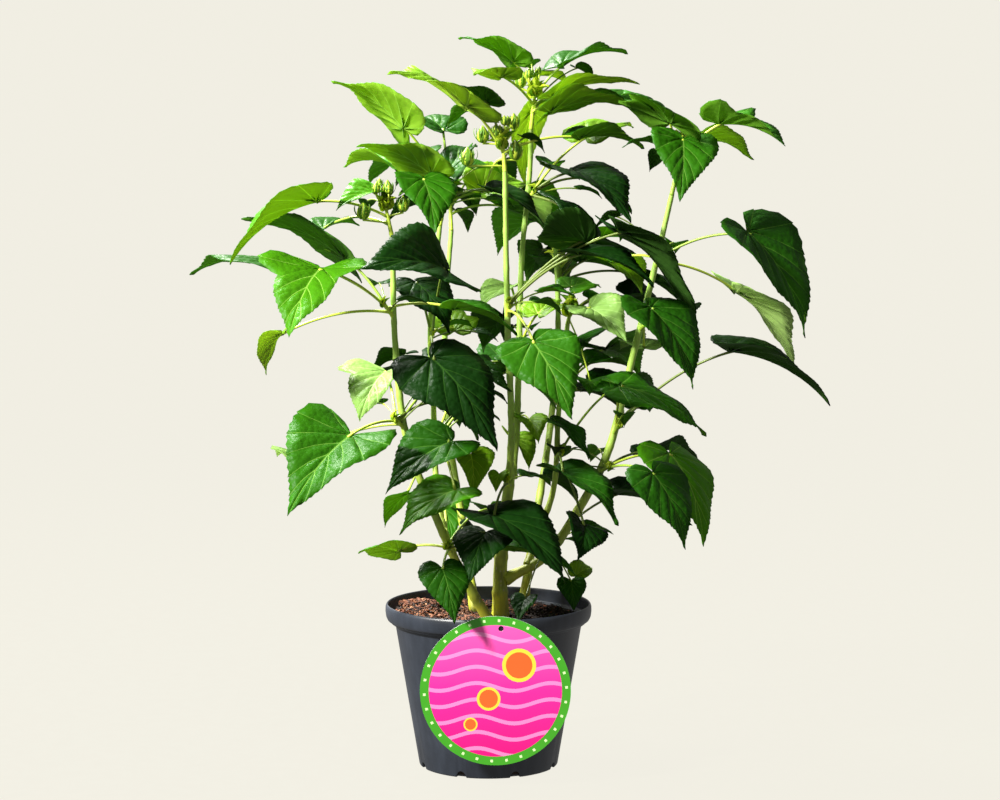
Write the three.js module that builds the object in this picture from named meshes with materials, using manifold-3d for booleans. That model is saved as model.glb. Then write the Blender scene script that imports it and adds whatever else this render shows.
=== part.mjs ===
// A potted hibiscus shrub: a round nursery pot of bark compost, nine upright canes from one foot,
// and long-stalked heart-shaped leaves and buds on short shoots along the canes.
// Millimetres; X to the right, Y away from the front, Z up; the origin is the middle of the pot's underside.
import * as THREE from "three";
import Module from "manifold-3d";
import { mergeVertices } from "three/addons/utils/BufferGeometryUtils.js";

const wasm = await Module();
wasm.setup();

// Driving dimensions
const GAP = 0.3;
const FINEST_EDGE = 0.1;
const WELD_DISTANCE = 1e-4;
const POT_HEIGHT = 150;
const POT_BASE_RADIUS = 64;
const POT_WALL_RADIUS = 86;
const POT_RIM_RADIUS = 95;
const POT_WALL = 1.8;
const POT_FLOOR = 2.5;
const RIM_HEIGHT = 15;
const RIM_STEP = 3;
const RIM_STEP_WIDTH = 4;
const RIM_TAPER = 1.5;
const RIM_LIP = 2;
const POT_CHAMFER = 1;
const POT_SIDES = 40;
const NOTCH_COUNT = 8;
const NOTCH_RADIUS = 6;
const NOTCH_SIDES = 10;
const NOTCH_FLATNESS = 0.8;
const SOIL_LEVEL = 138;
const SOIL_SIDES = 32;
const SOIL_EDGE_DROP = 2;
const SOIL_RINGS = [75, 58, 41, 20];
const SOIL_FLAT_RADIUS = 41;
const SOIL_SLOPE_RADIUS = 58;
const SOIL_HEAP = { x: -60, y: 25, height: 9, width: 28 };
const SOIL_DIP = { x: 60, y: 10, height: -6, width: 30 };
const LABEL_RADIUS = 66.8;
const LABEL_THICKNESS = 0.8;
const LABEL_CENTRE_HEIGHT = 87.2;
const LABEL_OFFSET = 6.5;
const LABEL_HOLE_RADIUS = 2.4;
const LABEL_HOLE_OFFSET = 5;
const LABEL_HOLE_FROM_EDGE = 11;
const LABEL_CURVE_STEPS = 16;
const STRAP_WIDTH = 12;
const STRAP_HEIGHT = POT_HEIGHT + GAP - LABEL_CENTRE_HEIGHT;
const STRAP_REACH = 6;
const STRAP_DROP = 9;
const FOOT = SOIL_LEVEL + GAP;
const RIM_FOOT = POT_HEIGHT - RIM_HEIGHT;
const WALL_TOP = RIM_FOOT - RIM_STEP;

// Leaf form, in shares of the blade's length: places along the midrib and half widths there
const BLADE_EDGE = [
  [-0.16, 0.2],
  [0.06, 0.4],
  [0.42, 0.34],
  [0.76, 0.12],
];
const MIDRIB_STATIONS = [0, 0.28, 0.66];
const BLADE_THICKNESS = 1 / 60;
const BLADE_BEND = 46;
const BLADE_FOLD = 16;
const STALK_RADIUS = 1.5;
const STALK_TAPER = 0.15;
const STALK_SIDES = 3;
const STALK_STEPS = 3;
const STALK_ARCH = 0.16;
const STALK_INTO_BLADE = 0.04;
const GOLDEN_TURN = 137.5;

// Clearances kept between the points of one leaf and the next, and the points that are tested
const BLADE_TO_BLADE = 9;
const BLADE_TO_BLADE_IN_ONE_SHOOT = 5;
const BLADE_TO_STALK = 8;
const BLADE_TO_CANE = 6;
const STALK_TO_STALK = 5;
const STALK_TO_CANE = 4;
const FARTHEST_NEIGHBOUR = 250;
const TEST_ROWS = 8;
const TEST_COLUMNS = 3;
const TEST_LOBE = { share: -0.14, side: 0.2 };
const STALK_TEST_STEPS = 14;
const STALK_TEST_START = 5;
const WOOD_TEST_STEP = 5;
const SHOOT_TEST_STEPS = 6;
// Tries at a free place: a leaf in the way of another stands nearer, farther, higher or lower by these steps
const SIDESTEPS = [
  [0, 0],
  [-10, 0],
  [10, 0],
  [-20, 0],
  [20, 0],
  [0, 7],
  [0, -7],
  [-10, 7],
  [10, 7],
  [-10, -7],
  [10, -7],
  [-32, 0],
  [32, 0],
  [-20, 9],
  [20, 9],
  [-44, 0],
  [44, 0],
];

// Canes: radius at the foot and at the tip, flare of the foot, and the axis from foot to tip
const CANES = {
  trunk: {
    radii: [7.2, 4.6],
    flare: 3.2,
    sides: 10,
    axis: [[11, -8, 130], [11, -10, 182], [15, -10, 228], [20, -8, 270]],
  },
  front_cane: {
    radii: [3.3, 2.3],
    axis: [[19, -11, 266], [21, -18, 310], [18, -26, 394], [16, -30, 475], [15, -30, 545]],
  },
  rear_cane: {
    radii: [3.2, 2.2],
    axis: [[22, -5, 266], [26, 12, 308], [28, 22, 382], [31, 31, 470], [38, 32, 545], [39, 30, 584]],
  },
  left_cane: {
    radii: [4.2, 2.3],
    flare: 1.6,
    axis: [
      [5, -24, 130], [-17, -32, 169], [-46, -40, 232],
      [-73, -44, 306], [-83, -46, 390], [-85, -48, 485],
    ],
  },
  left_rear_cane: {
    radii: [3, 2.1],
    axis: [[-33, -37, 202], [-44, -8, 234], [-49, 14, 271], [-51, 26, 330], [-54, 32, 400], [-45, 36, 496]],
  },
  right_cane: {
    radii: [4.6, 2.3],
    axis: [
      [15, -10, 173], [52, -3, 193], [84, 3, 238], [108, 6, 284],
      [133, 4, 380], [156, -4, 478], [166, -8, 524],
    ],
  },
  right_rear_cane: {
    radii: [3, 2.1],
    axis: [[36, -5, 186], [46, 18, 212], [60, 28, 250], [65, 34, 320], [73, 32, 404]],
  },
  back_left_cane: {
    radii: [4, 2.2],
    flare: 1.6,
    axis: [[-12, 18, 130], [-22, 48, 200], [-38, 84, 300], [-42, 104, 400], [-36, 112, 490]],
  },
  back_right_cane: {
    radii: [4, 2.2],
    flare: 1.6,
    axis: [[30, 16, 130], [42, 50, 205], [58, 88, 300], [66, 106, 390], [64, 112, 480]],
  },
};
const CANE_SIDES = 6;
const CANE_STEP = 34;
const FLARE_DECAY = 11;
const HALVINGS = 24;

// Foliage: each shoot by its cane, its height there, its heading, rise and length, then the leaves that
// show from the front, lowest first. A leaf is [way, out, up, blade, fall, heading, roll, fold]: the compass
// way (0 right, 90 away), the reach and the rise of its stalk from the shoot's foot, the blade's length, the
// slope of the blade below level, the way that its tip points, its turn about its own length, and the lift
// of its halves, where that isn't the usual one.
// "more" adds leaves by the seeded rule: their number and the middle of their ways.
const FOLIAGE = {
  foliage_top_rear: {
    cane: "rear_cane",
    height: 584,
    shoot: [320, 82, 36],
    seed: 47,
    more: [1, 60],
    leaves: [
      [89, 30, 18, 71, 84, 126, -24, -4],
      [289, 52, 15, 74, -5, 9, -20, 4],
      [300, 35, 29, 82, -8, 4, -8, 4],
      [227, 40, 47, 53, 1, 242, 2, 1],
      [70, 16, 50, 42, 14, 35, 0],
      [0, 29, 58, 71, -10, 29, -4, 17],
      [210, 19, 62, 61, -18, 211, 4, 6],
    ],
    buds: [[200, 10, 44, 12]],
  },
  foliage_top_front: {
    cane: "front_cane",
    height: 545,
    shoot: [180, 86, 26],
    seed: 202,
    more: [1, 90],
    leaves: [
      [103, 92, -18, 69, -5, 54, 31, 24],
      [211, 39, 59, 103, -13, 228, -18, -2],
      [147, 20, 70, 55, -13, 224, -3, 3],
    ],
    buds: [
      [190, 34, 12, 14],
      [175, 20, 32, 13],
      [160, 8, 34, 12],
      [20, 10, 18, 15],
      [60, 16, 44, 12],
    ],
  },
  foliage_top_left_rear: {
    cane: "left_rear_cane",
    height: 496,
    shoot: [350, 77, 38],
    seed: 119,
    more: [1, 60],
    leaves: [
      [259, 37, 48, 79, -17, 210, 15, 6],
      [258, 65, 43, 67, 49, 285, -7, 4],
      [285, 26, 46, 60, -28, 58, 0],
      [158, 40, 52, 80, -2, 135, 0],
      [219, 41, 89, 79, -32, 194, 22, 7],
      [82, 24, 88, 60, -10, 120, 0],
    ],
    buds: [[180, 6, 62, 12]],
  },
  foliage_top_left: {
    cane: "left_cane",
    height: 485,
    shoot: [180, 78, 32],
    seed: 41,
    more: [0, 60],
    leaves: [
      [128, 110, 8, 45, -3, 45, 0],
      [190, 68, 34, 95, 36, 192, 5, 22],
      [154, 18, 42, 44, 22, 216, -19, 20],
    ],
    buds: [
      [205, 28, 24, 13],
      [20, 10, 30, 12],
      [150, 5, 44, 12],
    ],
  },
  foliage_left_upper: {
    cane: "left_cane",
    height: 415,
    shoot: [225, 48, 18],
    seed: 12,
    more: [1, 70],
    leaves: [
      [184, 100, -14, 47, 55, 127, -21, 20],
      [214, 75, 45, 99, 34, 255, -5, 11],
      [164, 45, 52, 105, -20, 167, 24, 4],
      [146, 129, 46, 116, 6, 144, 4, -5],
    ],
  },
  foliage_left_lower: {
    cane: "left_cane",
    height: 315,
    shoot: [230, 40, 18],
    seed: 133,
    more: [2, 60],
    leaves: [
      [172, 94, -28, 60, 4, 118, 0],
      [227, 67, -1, 109, 34, 237, -19, 13],
      [104, 82, 46, 83, 29, 253, 0],
    ],
  },
  foliage_mid_left_upper: {
    cane: "left_rear_cane",
    height: 385,
    shoot: [280, 46, 22],
    seed: 8,
    more: [2, 60],
    leaves: [
      [272, 114, -3, 105, 49, 328, 25, -3],
      [254, 45, 61, 69, 41, 309, 6, 1],
      [278, 129, 74, 100, -2, 224, -39, 9],
      [35, 27, 13, 50, -20, 100, 0],
    ],
  },
  foliage_mid_left_lower: {
    cane: "left_rear_cane",
    height: 290,
    shoot: [285, 44, 22],
    seed: 41,
    more: [3, 90],
    leaves: [
      [225, 33, -38, 47, 48, 137, -1, -3],
      [287, 77, -27, 72, 30, 216, -14, 4],
      [302, 64, 0, 48, 46, 275, -11, 20],
      [282, 85, 16, 81, 32, 213, -22, 6],
    ],
  },
  foliage_foot_left: {
    cane: "left_cane",
    height: 202,
    shoot: [250, 35, 16],
    seed: 12,
    more: [2, 70],
    leaves: [
      [262, 55, -5, 54, 60, 295, 6, -5],
      [168, 49, 0, 53, -4, 228, 24, -4],
      [327, 37, 22, 64, 38, 254, -2, -4],
      [97, 98, 29, 61, 33, 282, 0],
    ],
  },
  foliage_front_mid: {
    cane: "front_cane",
    height: 414,
    shoot: [275, 55, 20],
    seed: 105,
    more: [1, 70],
    leaves: [
      [284, 88, -16, 85, 49, 307, 22, -3],
      [93, 54, -4, 68, 34, 111, 0, 23],
      [339, 74, 69, 69, -4, 231, 60, 45],
      [340, 105, 80, 114, 51, 12, -2, 4],
    ],
  },
  foliage_rear_mid: {
    cane: "rear_cane",
    height: 380,
    shoot: [76, 44, 17],
    seed: 65,
    more: [0, 80],
    leaves: [
      [325, 21, 36, 45, -13, 58, 0],
      [95, 62, 58, 57, 22, 235, 0],
    ],
  },
  foliage_rear_low: {
    cane: "rear_cane",
    height: 310,
    shoot: [76, 51, 13],
    seed: 68,
    more: [0, 80],
    leaves: [
      [99, 28, -12, 43, 42, 300, -18, 22],
      [297, 23, 12, 38, 30, 285, 0, 22],
    ],
  },
  foliage_rear_right: {
    cane: "rear_cane",
    height: 515,
    shoot: [327, 60, 18],
    seed: 119,
    more: [1, 90],
    leaves: [
      [87, 40, 2, 44, 38, 60, 0],
      [319, 72, -21, 60, -34, 155, -2, -3],
      [341, 43, 31, 93, 30, 310, 0, 10],
      [6, 56, 62, 68, -9, 47, 6, 8],
    ],
  },
  foliage_top_right: {
    cane: "right_cane",
    height: 524,
    shoot: [0, 78, 36],
    seed: 12,
    more: [1, 160],
    leaves: [
      [281, 37, 50, 73, 50, 263, -16, 10],
      [58, 55, 54, 62, 20, 25, -9, 6],
      [256, 12, 58, 91, -14, 237, -18, -4],
      [356, 42, 64, 70, 17, 327, -6, 25],
    ],
    buds: [[90, 5, 48, 12]],
  },
  foliage_right_upper: {
    cane: "right_cane",
    height: 458,
    shoot: [300, 44, 18],
    seed: 131,
    more: [0, 150],
    leaves: [
      [17, 80, -22, 104, 48, 35, 15, 6],
      [130, 57, 4, 60, 32, 53, 0],
      [330, 92, 34, 108, 61, 346, 24, 11],
    ],
  },
  foliage_right_mid: {
    cane: "right_cane",
    height: 401,
    shoot: [295, 28, 18],
    seed: 15,
    more: [1, 150],
    leaves: [
      [82, 60, -20, 50, 5, 115, 0],
      [274, 70, 25, 88, 52, 310, 0, 9],
    ],
  },
  foliage_right_lower: {
    cane: "right_cane",
    height: 305,
    shoot: [288, 38, 18],
    seed: 91,
    more: [1, 150],
    leaves: [
      [271, 64, 50, 92, 30, 4, 17, -5],
      [332, 115, 81, 103, 29, 0, 2, 20],
    ],
  },
  foliage_right_low: {
    cane: "right_cane",
    height: 270,
    shoot: [300, 24, 18],
    seed: 199,
    more: [1, 120],
    leaves: [
      [307, 75, 7, 76, 61, 320, 11, 1],
      [127, 75, -20, 41, 42, 18, 8, 38],
      [0, 65, 18, 96, 57, 302, -12, -2],
    ],
  },
  foliage_mid_right: {
    cane: "right_rear_cane",
    height: 404,
    shoot: [323, 76, 16],
    seed: 50,
    more: [1, 120],
    leaves: [
      [20, 23, -52, 40, 16, 267, 0],
      [149, 15, 14, 40, 12, 109, 0],
      [328, 23, 17, 62, 30, 308, 20],
      [67, 8, 35, 43, 2, 46, 17, 4],
    ],
  },
  foliage_low_right: {
    cane: "right_rear_cane",
    height: 277,
    shoot: [289, 44, 18],
    seed: 181,
    more: [1, 110],
    leaves: [
      [337, 26, -52, 52, 31, 260, -36, 11],
      [271, 80, 0, 78, 34, 322, -4, 13],
      [264, 40, 41, 57, 36, 315, -11, 5],
    ],
  },
  foliage_low_front: {
    cane: "trunk",
    height: 256,
    shoot: [262, 43, 20],
    seed: 191,
    more: [0, 120],
    leaves: [
      [256, 66, -7, 101, 32, 320, 3, 7],
      [238, 16, 16, 22, 45, 259, 4, 17],
    ],
  },
  foliage_foot_right: {
    cane: "right_cane",
    height: 194,
    shoot: [80, 30, 20],
    seed: 105,
    more: [1, 90],
    leaves: [
      [47, 40, -24, 30, -8, 58, 35, 33],
      [336, 25, -23, 32, 56, 277, 0, -4],
      [230, 30, -30, 30, 40, 252, 0],
    ],
  },
  foliage_back_left_top: {
    cane: "back_left_cane",
    height: 490,
    shoot: [100, 76, 40],
    seed: 53,
    more: [6, 90],
    leaves: [],
  },
  foliage_back_left_low: {
    cane: "back_left_cane",
    height: 330,
    shoot: [110, 45, 24],
    seed: 68,
    more: [5, 90],
    leaves: [],
  },
  foliage_back_right_top: {
    cane: "back_right_cane",
    height: 425,
    shoot: [70, 76, 40],
    seed: 104,
    more: [5, 60],
    leaves: [],
  },
  foliage_back_right_low: {
    cane: "back_right_cane",
    height: 320,
    shoot: [60, 45, 24],
    seed: 75,
    more: [4, 90],
    leaves: [],
  },
};
// Leaves of the seeded rule: spread of their ways, reach and slope of the stalk, blade, slope and turn
const RULE = {
  spread: 150,
  wobble: 24,
  stalk: [45, 88],
  climb: [5, 50],
  blade: [58, 92],
  fall: [8, 46],
  swing: 40,
  roll: 36,
};
const SHOOT_RADII = [2.1, 1.3];
const SHOOT_SIDES = 5;
const SHOOT_STEPS = 2;
// Where stalks leave a shoot, in shares of its length
const SHOWN_STALKS = { first: 0.3, spread: 0.66 };
const RULED_STALKS = { first: 0.35, spread: 0.6 };
const BUD_PROFILE = [[0, -0.5], [0.42, -0.2], [0.42, 0.15], [0, 0.75]];
const BUD_SIDES = 6;
const BUD_STALK_RADIUS = 1.2;
const BUD_STALK_SIDES = 3;
const BUD_STALK_DROP = 0.3;
const BUD_STALK_RANGE = [0.2, 0.95];

// Colour, roughness and metalness of each kind of piece
const LOOKS = {
  pot: [0x4d545e, 0.45, 0],
  soil: [0x6a4230, 0.95, 0],
  label: [0xf2569b, 0.35, 0],
  cane: [0x8db04a, 0.6, 0],
  foliage: [0x3f8a22, 0.55, 0],
};

// Small helpers

const radians = THREE.MathUtils.degToRad;
const mix = THREE.MathUtils.lerp;

function heading(way, slope = 0) {
  const level = Math.cos(radians(slope));
  const turn = radians(way);
  return new THREE.Vector3(level * Math.cos(turn), level * Math.sin(turn), Math.sin(radians(slope)));
}

// A generator of shares from 0 to 1 that gives the same row for the same seed.
function seededShares(seed) {
  let state = seed;
  return () => {
    state = (state * 1664525 + 1013904223) % 4294967296;
    return state / 4294967296;
  };
}

function solidOf(geometry) {
  const bare = new THREE.BufferGeometry();
  bare.setAttribute("position", geometry.getAttribute("position"));
  bare.setIndex(geometry.index);
  const merged = mergeVertices(bare, WELD_DISTANCE);
  const vertProperties = new Float32Array(merged.getAttribute("position").array);
  const triVerts = new Uint32Array(merged.index.array);
  return new wasm.Manifold(new wasm.Mesh({ numProp: 3, vertProperties, triVerts }));
}

function geometryOf(solid) {
  const mesh = solid.getMesh();
  const geometry = new THREE.BufferGeometry();
  geometry.setAttribute("position", new THREE.BufferAttribute(new Float32Array(mesh.vertProperties), 3));
  geometry.setIndex(new THREE.BufferAttribute(new Uint32Array(mesh.triVerts), 1));
  geometry.computeVertexNormals();
  return geometry;
}

// The biggest closed body of a solid: loose scraps and sealed hollows are dropped.
function largestBody(solid) {
  const bodies = solid.decompose();
  bodies.sort((one, other) => other.volume() - one.volume());
  return bodies[0];
}

// A round tube that tapers along a curve: a closed cylinder bent to it, ring by ring.
function taperedTube(curve, radiusAt, sides, steps) {
  const tube = new THREE.CylinderGeometry(1, 1, 1, sides, steps);
  const frames = curve.computeFrenetFrames(steps);
  const places = tube.getAttribute("position");
  for (let i = 0; i < places.count; i += 1) {
    const share = places.getY(i) + 0.5;
    const ring = Math.round(share * steps);
    const radius = radiusAt(share);
    const point = curve.getPointAt(share);
    point.addScaledVector(frames.binormals[ring], places.getX(i) * radius);
    point.addScaledVector(frames.normals[ring], places.getZ(i) * radius);
    places.setXYZ(i, point.x, point.y, point.z);
  }
  return solidOf(tube);
}

// A solid of revolution about Z from [radius, height] pairs that start and end on the axis.
function turned(profile, sides) {
  const points = profile.map(([radius, height]) => new THREE.Vector2(radius, height));
  return new THREE.LatheGeometry(points, sides).rotateX(Math.PI / 2);
}

// Pot: a thin wall that widens to a step, then a deeper band, with drain notches round its foot

function drainNotch(index) {
  const notch = new THREE.CylinderGeometry(NOTCH_RADIUS, NOTCH_RADIUS, 2 * NOTCH_RADIUS, NOTCH_SIDES);
  notch.scale(1, 1, NOTCH_FLATNESS);
  notch.rotateZ(Math.PI / 2);
  notch.translate(POT_BASE_RADIUS + NOTCH_RADIUS / 3, 0, 0);
  notch.rotateZ((2 * Math.PI * (index + 0.5)) / NOTCH_COUNT);
  return solidOf(notch);
}

function potSolid() {
  const stepRadius = POT_WALL_RADIUS + RIM_STEP_WIDTH;
  const bandFoot = POT_RIM_RADIUS - RIM_TAPER;
  const profile = [
    [0, 0],
    [POT_BASE_RADIUS - POT_CHAMFER, 0],
    [POT_BASE_RADIUS, POT_CHAMFER],
    [POT_WALL_RADIUS, WALL_TOP],
    [stepRadius, WALL_TOP + POT_CHAMFER],
    [stepRadius, RIM_FOOT],
    [bandFoot, RIM_FOOT + RIM_TAPER],
    [POT_RIM_RADIUS, POT_HEIGHT - POT_CHAMFER],
    [POT_RIM_RADIUS - POT_CHAMFER / 2, POT_HEIGHT],
    [POT_RIM_RADIUS - RIM_LIP, POT_HEIGHT],
    [bandFoot - POT_WALL, RIM_FOOT + RIM_STEP],
    [POT_WALL_RADIUS - POT_WALL, WALL_TOP - POT_CHAMFER],
    [POT_BASE_RADIUS - POT_WALL, POT_FLOOR],
    [0, POT_FLOOR],
  ];
  const notches = Array.from({ length: NOTCH_COUNT }, (_, index) => drainNotch(index));
  return solidOf(turned(profile, POT_SIDES)).subtract(wasm.Manifold.union(notches));
}

// Compost: a plug that fills the pot, level round the canes, heaped on the left and sunk on the right

function swelling({ x, y, height, width }, atX, atY) {
  return height * Math.exp(-((atX - x) ** 2 + (atY - y) ** 2) / width ** 2);
}

function soilHeight(x, y) {
  const share = THREE.MathUtils.smoothstep(Math.hypot(x, y), SOIL_FLAT_RADIUS, SOIL_SLOPE_RADIUS);
  return SOIL_LEVEL + share * (swelling(SOIL_HEAP, x, y) + swelling(SOIL_DIP, x, y) - SOIL_EDGE_DROP / 2);
}

function soilSolid() {
  const bottom = POT_FLOOR + GAP;
  const footRadius = POT_BASE_RADIUS - POT_WALL - GAP;
  const neckRadius = POT_WALL_RADIUS - POT_WALL - 2 * GAP;
  const profile = [
    [0, bottom],
    [footRadius, bottom],
    [neckRadius, WALL_TOP - POT_CHAMFER],
    [neckRadius + RIM_STEP, SOIL_LEVEL - SOIL_EDGE_DROP],
    ...SOIL_RINGS.map((radius) => [radius, SOIL_LEVEL]),
    [0, SOIL_LEVEL],
  ];
  const plug = turned(profile, SOIL_SIDES);
  const places = plug.getAttribute("position");
  for (let i = 0; i < places.count; i += 1) {
    if (places.getZ(i) > SOIL_LEVEL - SOIL_EDGE_DROP / 2) {
      places.setZ(i, soilHeight(places.getX(i), places.getY(i)));
    }
  }
  return solidOf(plug);
}

// Label: a round card that hangs upright in front of the rim, with a strap hooked over it

function labelCard() {
  const outline = new THREE.Shape().absarc(0, 0, LABEL_RADIUS, 0, 2 * Math.PI);
  const holeHeight = LABEL_RADIUS - LABEL_HOLE_FROM_EDGE;
  const hole = new THREE.Path().absarc(LABEL_HOLE_OFFSET, holeHeight, LABEL_HOLE_RADIUS, 0, 2 * Math.PI);
  outline.holes.push(hole);
  const card = { depth: LABEL_THICKNESS, curveSegments: LABEL_CURVE_STEPS, bevelEnabled: false };
  return solidOf(new THREE.ExtrudeGeometry(outline, card));
}

function labelStrap() {
  const strap = new THREE.Shape();
  strap.moveTo(LABEL_THICKNESS / 2, STRAP_HEIGHT);
  strap.lineTo(LABEL_THICKNESS / 2, STRAP_HEIGHT + LABEL_THICKNESS);
  strap.lineTo(-STRAP_REACH, STRAP_HEIGHT + LABEL_THICKNESS);
  strap.lineTo(-STRAP_REACH, STRAP_HEIGHT - STRAP_DROP);
  strap.lineTo(LABEL_THICKNESS - STRAP_REACH, STRAP_HEIGHT - STRAP_DROP);
  strap.lineTo(LABEL_THICKNESS - STRAP_REACH, STRAP_HEIGHT);
  const hook = new THREE.ExtrudeGeometry(strap, { depth: STRAP_WIDTH, bevelEnabled: false });
  hook.rotateY(-Math.PI / 2);
  hook.translate(STRAP_WIDTH / 2, 0, 0);
  return solidOf(hook);
}

function labelSolid() {
  const label = geometryOf(labelCard().add(labelStrap()));
  label.rotateX(Math.PI / 2);
  label.translate(LABEL_OFFSET, -POT_RIM_RADIUS - GAP, LABEL_CENTRE_HEIGHT);
  return solidOf(label);
}

// Canes

function caneCurve(cane, grow = 0) {
  const points = cane.axis.map((point) => new THREE.Vector3(...point));
  const last = points.length - 1;
  points[last].addScaledVector(points[last].clone().sub(points[last - 1]).normalize(), grow);
  return new THREE.CatmullRomCurve3(points, false, "centripetal");
}

function caneRadius(cane, share) {
  const flare = (cane.flare ?? 0) * Math.exp(-share * FLARE_DECAY);
  return mix(cane.radii[0], cane.radii[1], share) + flare;
}

function caneSolid(cane, grow = 0) {
  const curve = caneCurve(cane, grow);
  const steps = Math.ceil(curve.getLength() / CANE_STEP);
  const radiusAt = (share) => caneRadius(cane, share) + grow;
  const tube = taperedTube(curve, radiusAt, cane.sides ?? CANE_SIDES, steps);
  return tube.trimByPlane([0, 0, 1], FOOT - grow);
}

// The point of a cane's axis at a height, found by halving.
function caneAtHeight(curve, height) {
  let low = 0;
  let high = 1;
  for (let i = 0; i < HALVINGS; i += 1) {
    const middle = (low + high) / 2;
    if (curve.getPointAt(middle).z < height) {
      low = middle;
    } else {
      high = middle;
    }
  }
  return curve.getPointAt(high);
}

// Leaves

// Points of a leaf's midrib, edges and stalk, from its junction, length, slope, way and roll.
function leafFrame(leaf) {
  const along = heading(leaf.heading);
  const up = new THREE.Vector3(0, 0, 1);
  const across = new THREE.Vector3().crossVectors(up, along);
  const chord = heading(leaf.heading, -leaf.fall);
  const bend = radians(BLADE_BEND);
  const first = radians(leaf.fall) - bend / 2;
  const arc = (leaf.blade * bend) / 2 / Math.sin(bend / 2) / bend;
  const fold = radians(leaf.fold ?? BLADE_FOLD);
  // A place on the blade: share of its length, half width with its side as sign, height above the face.
  return (share, side, height = 0) => {
    const slope = first + bend * Math.max(share, 0);
    const place = new THREE.Vector3();
    place.addScaledVector(along, arc * (Math.sin(slope) - Math.sin(first)));
    place.addScaledVector(up, arc * (Math.cos(slope) - Math.cos(first)));
    place.addScaledVector(along, Math.min(share, 0) * leaf.blade * Math.cos(first));
    place.addScaledVector(up, -Math.min(share, 0) * leaf.blade * Math.sin(first));
    const normal = along.clone().multiplyScalar(Math.sin(slope)).addScaledVector(up, Math.cos(slope));
    place.addScaledVector(across, side * leaf.blade * Math.cos(fold));
    place.addScaledVector(normal, Math.abs(side) * leaf.blade * Math.sin(fold) + height);
    place.applyAxisAngle(chord, radians(leaf.roll));
    return place.add(leaf.junction);
  };
}

function stalkCurve(leaf) {
  const middle = leaf.foot.clone().lerp(leaf.junction, 0.5);
  middle.z += STALK_ARCH * leaf.foot.distanceTo(leaf.junction);
  return new THREE.QuadraticBezierCurve3(leaf.foot, middle, leafFrame(leaf)(STALK_INTO_BLADE, 0));
}

// A heart-shaped lens: one closed edge, and the midrib's stations above and below it.
function bladeSolid(leaf) {
  const at = leafFrame(leaf);
  const lift = (leaf.blade * BLADE_THICKNESS) / 2;
  const right = BLADE_EDGE.map(([share, width]) => at(share, width));
  const left = BLADE_EDGE.map(([share, width]) => at(share, -width));
  const upper = MIDRIB_STATIONS.map((share) => at(share, 0, lift));
  const lower = MIDRIB_STATIONS.map((share) => at(share, 0, -lift));
  const tip = at(1, 0);
  const faces = [];
  const half = (edge, ribs, flip) => {
    const fan = [
      [ribs[0], edge[0], edge[1]],
      [ribs[0], edge[1], ribs[1]],
      [ribs[1], edge[1], edge[2]],
      [ribs[1], edge[2], ribs[2]],
      [ribs[2], edge[2], edge[3]],
      [ribs[2], edge[3], tip],
    ];
    fan.forEach(([a, b, c]) => faces.push(...(flip ? [a, c, b] : [a, b, c])));
  };
  half(right, upper, true);
  half(left, upper, false);
  half(right, lower, false);
  half(left, lower, true);
  faces.push(right[0], lower[0], upper[0], left[0], upper[0], lower[0]);
  return solidOf(new THREE.BufferGeometry().setFromPoints(faces));
}

function stalkSolid(leaf) {
  const radiusAt = (share) => STALK_RADIUS * (1 - STALK_TAPER * share);
  return taperedTube(stalkCurve(leaf), radiusAt, STALK_SIDES, STALK_STEPS);
}

// The blade's half width at a share of its length, straight from one point of its edge to the next.
function bladeWidth(share) {
  const edge = [...BLADE_EDGE, [1, 0]];
  const next = Math.max(1, edge.findIndex(([place]) => place >= share));
  const [start, startWidth] = edge[next - 1];
  const [end, endWidth] = edge[next];
  return mix(startWidth, endWidth, (share - start) / (end - start));
}

// Points that stand for a leaf when it is tested against its neighbours.
function leafPoints(leaf) {
  const at = leafFrame(leaf);
  const blade = [];
  for (let row = 0; row <= TEST_ROWS; row += 1) {
    const share = row / TEST_ROWS;
    const width = bladeWidth(share);
    for (let column = -TEST_COLUMNS; column <= TEST_COLUMNS; column += 1) {
      blade.push(at(share, (column / TEST_COLUMNS) * width));
    }
  }
  blade.push(at(TEST_LOBE.share, TEST_LOBE.side), at(TEST_LOBE.share, -TEST_LOBE.side));
  return { blade, stalk: stalkCurve(leaf).getPoints(STALK_TEST_STEPS) };
}

function tooNear(points, others, limit) {
  const square = limit * limit;
  return points.some((point) => others.some((other) => point.distanceToSquared(other) < square));
}

// Whether a leaf is clear of the canes and of the leaves already placed.
function isClear(leaf, placed, wood) {
  const mine = leafPoints(leaf);
  const outerStalk = mine.stalk.slice(STALK_TEST_START);
  for (const stem of wood) {
    if (stem.mass === leaf.mass) continue;
    if (tooNear(mine.blade, stem.points, stem.radius + BLADE_TO_CANE)) return false;
    if (tooNear(outerStalk, stem.points, stem.radius + STALK_TO_CANE)) return false;
  }
  for (const other of placed) {
    if (leaf.junction.distanceTo(other.leaf.junction) > FARTHEST_NEIGHBOUR) continue;
    const kin = other.leaf.mass === leaf.mass;
    if (tooNear(mine.blade, other.blade, kin ? BLADE_TO_BLADE_IN_ONE_SHOOT : BLADE_TO_BLADE)) return false;
    if (kin) continue;
    if (tooNear(mine.blade, other.stalk, BLADE_TO_STALK)) return false;
    if (tooNear(mine.stalk, other.blade, BLADE_TO_STALK)) return false;
    if (tooNear(mine.stalk, other.stalk, STALK_TO_STALK)) return false;
  }
  return mine;
}

// The first free place near the wanted one, or nothing: such a leaf is left off.
function settle(leaf, placed, wood) {
  for (const [depth, rise] of SIDESTEPS) {
    const moved = { ...leaf, junction: leaf.junction.clone().add(new THREE.Vector3(0, depth, rise)) };
    const points = isClear(moved, placed, wood);
    if (points) {
      placed.push({ leaf: moved, ...points });
      return true;
    }
  }
  return false;
}

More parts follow.
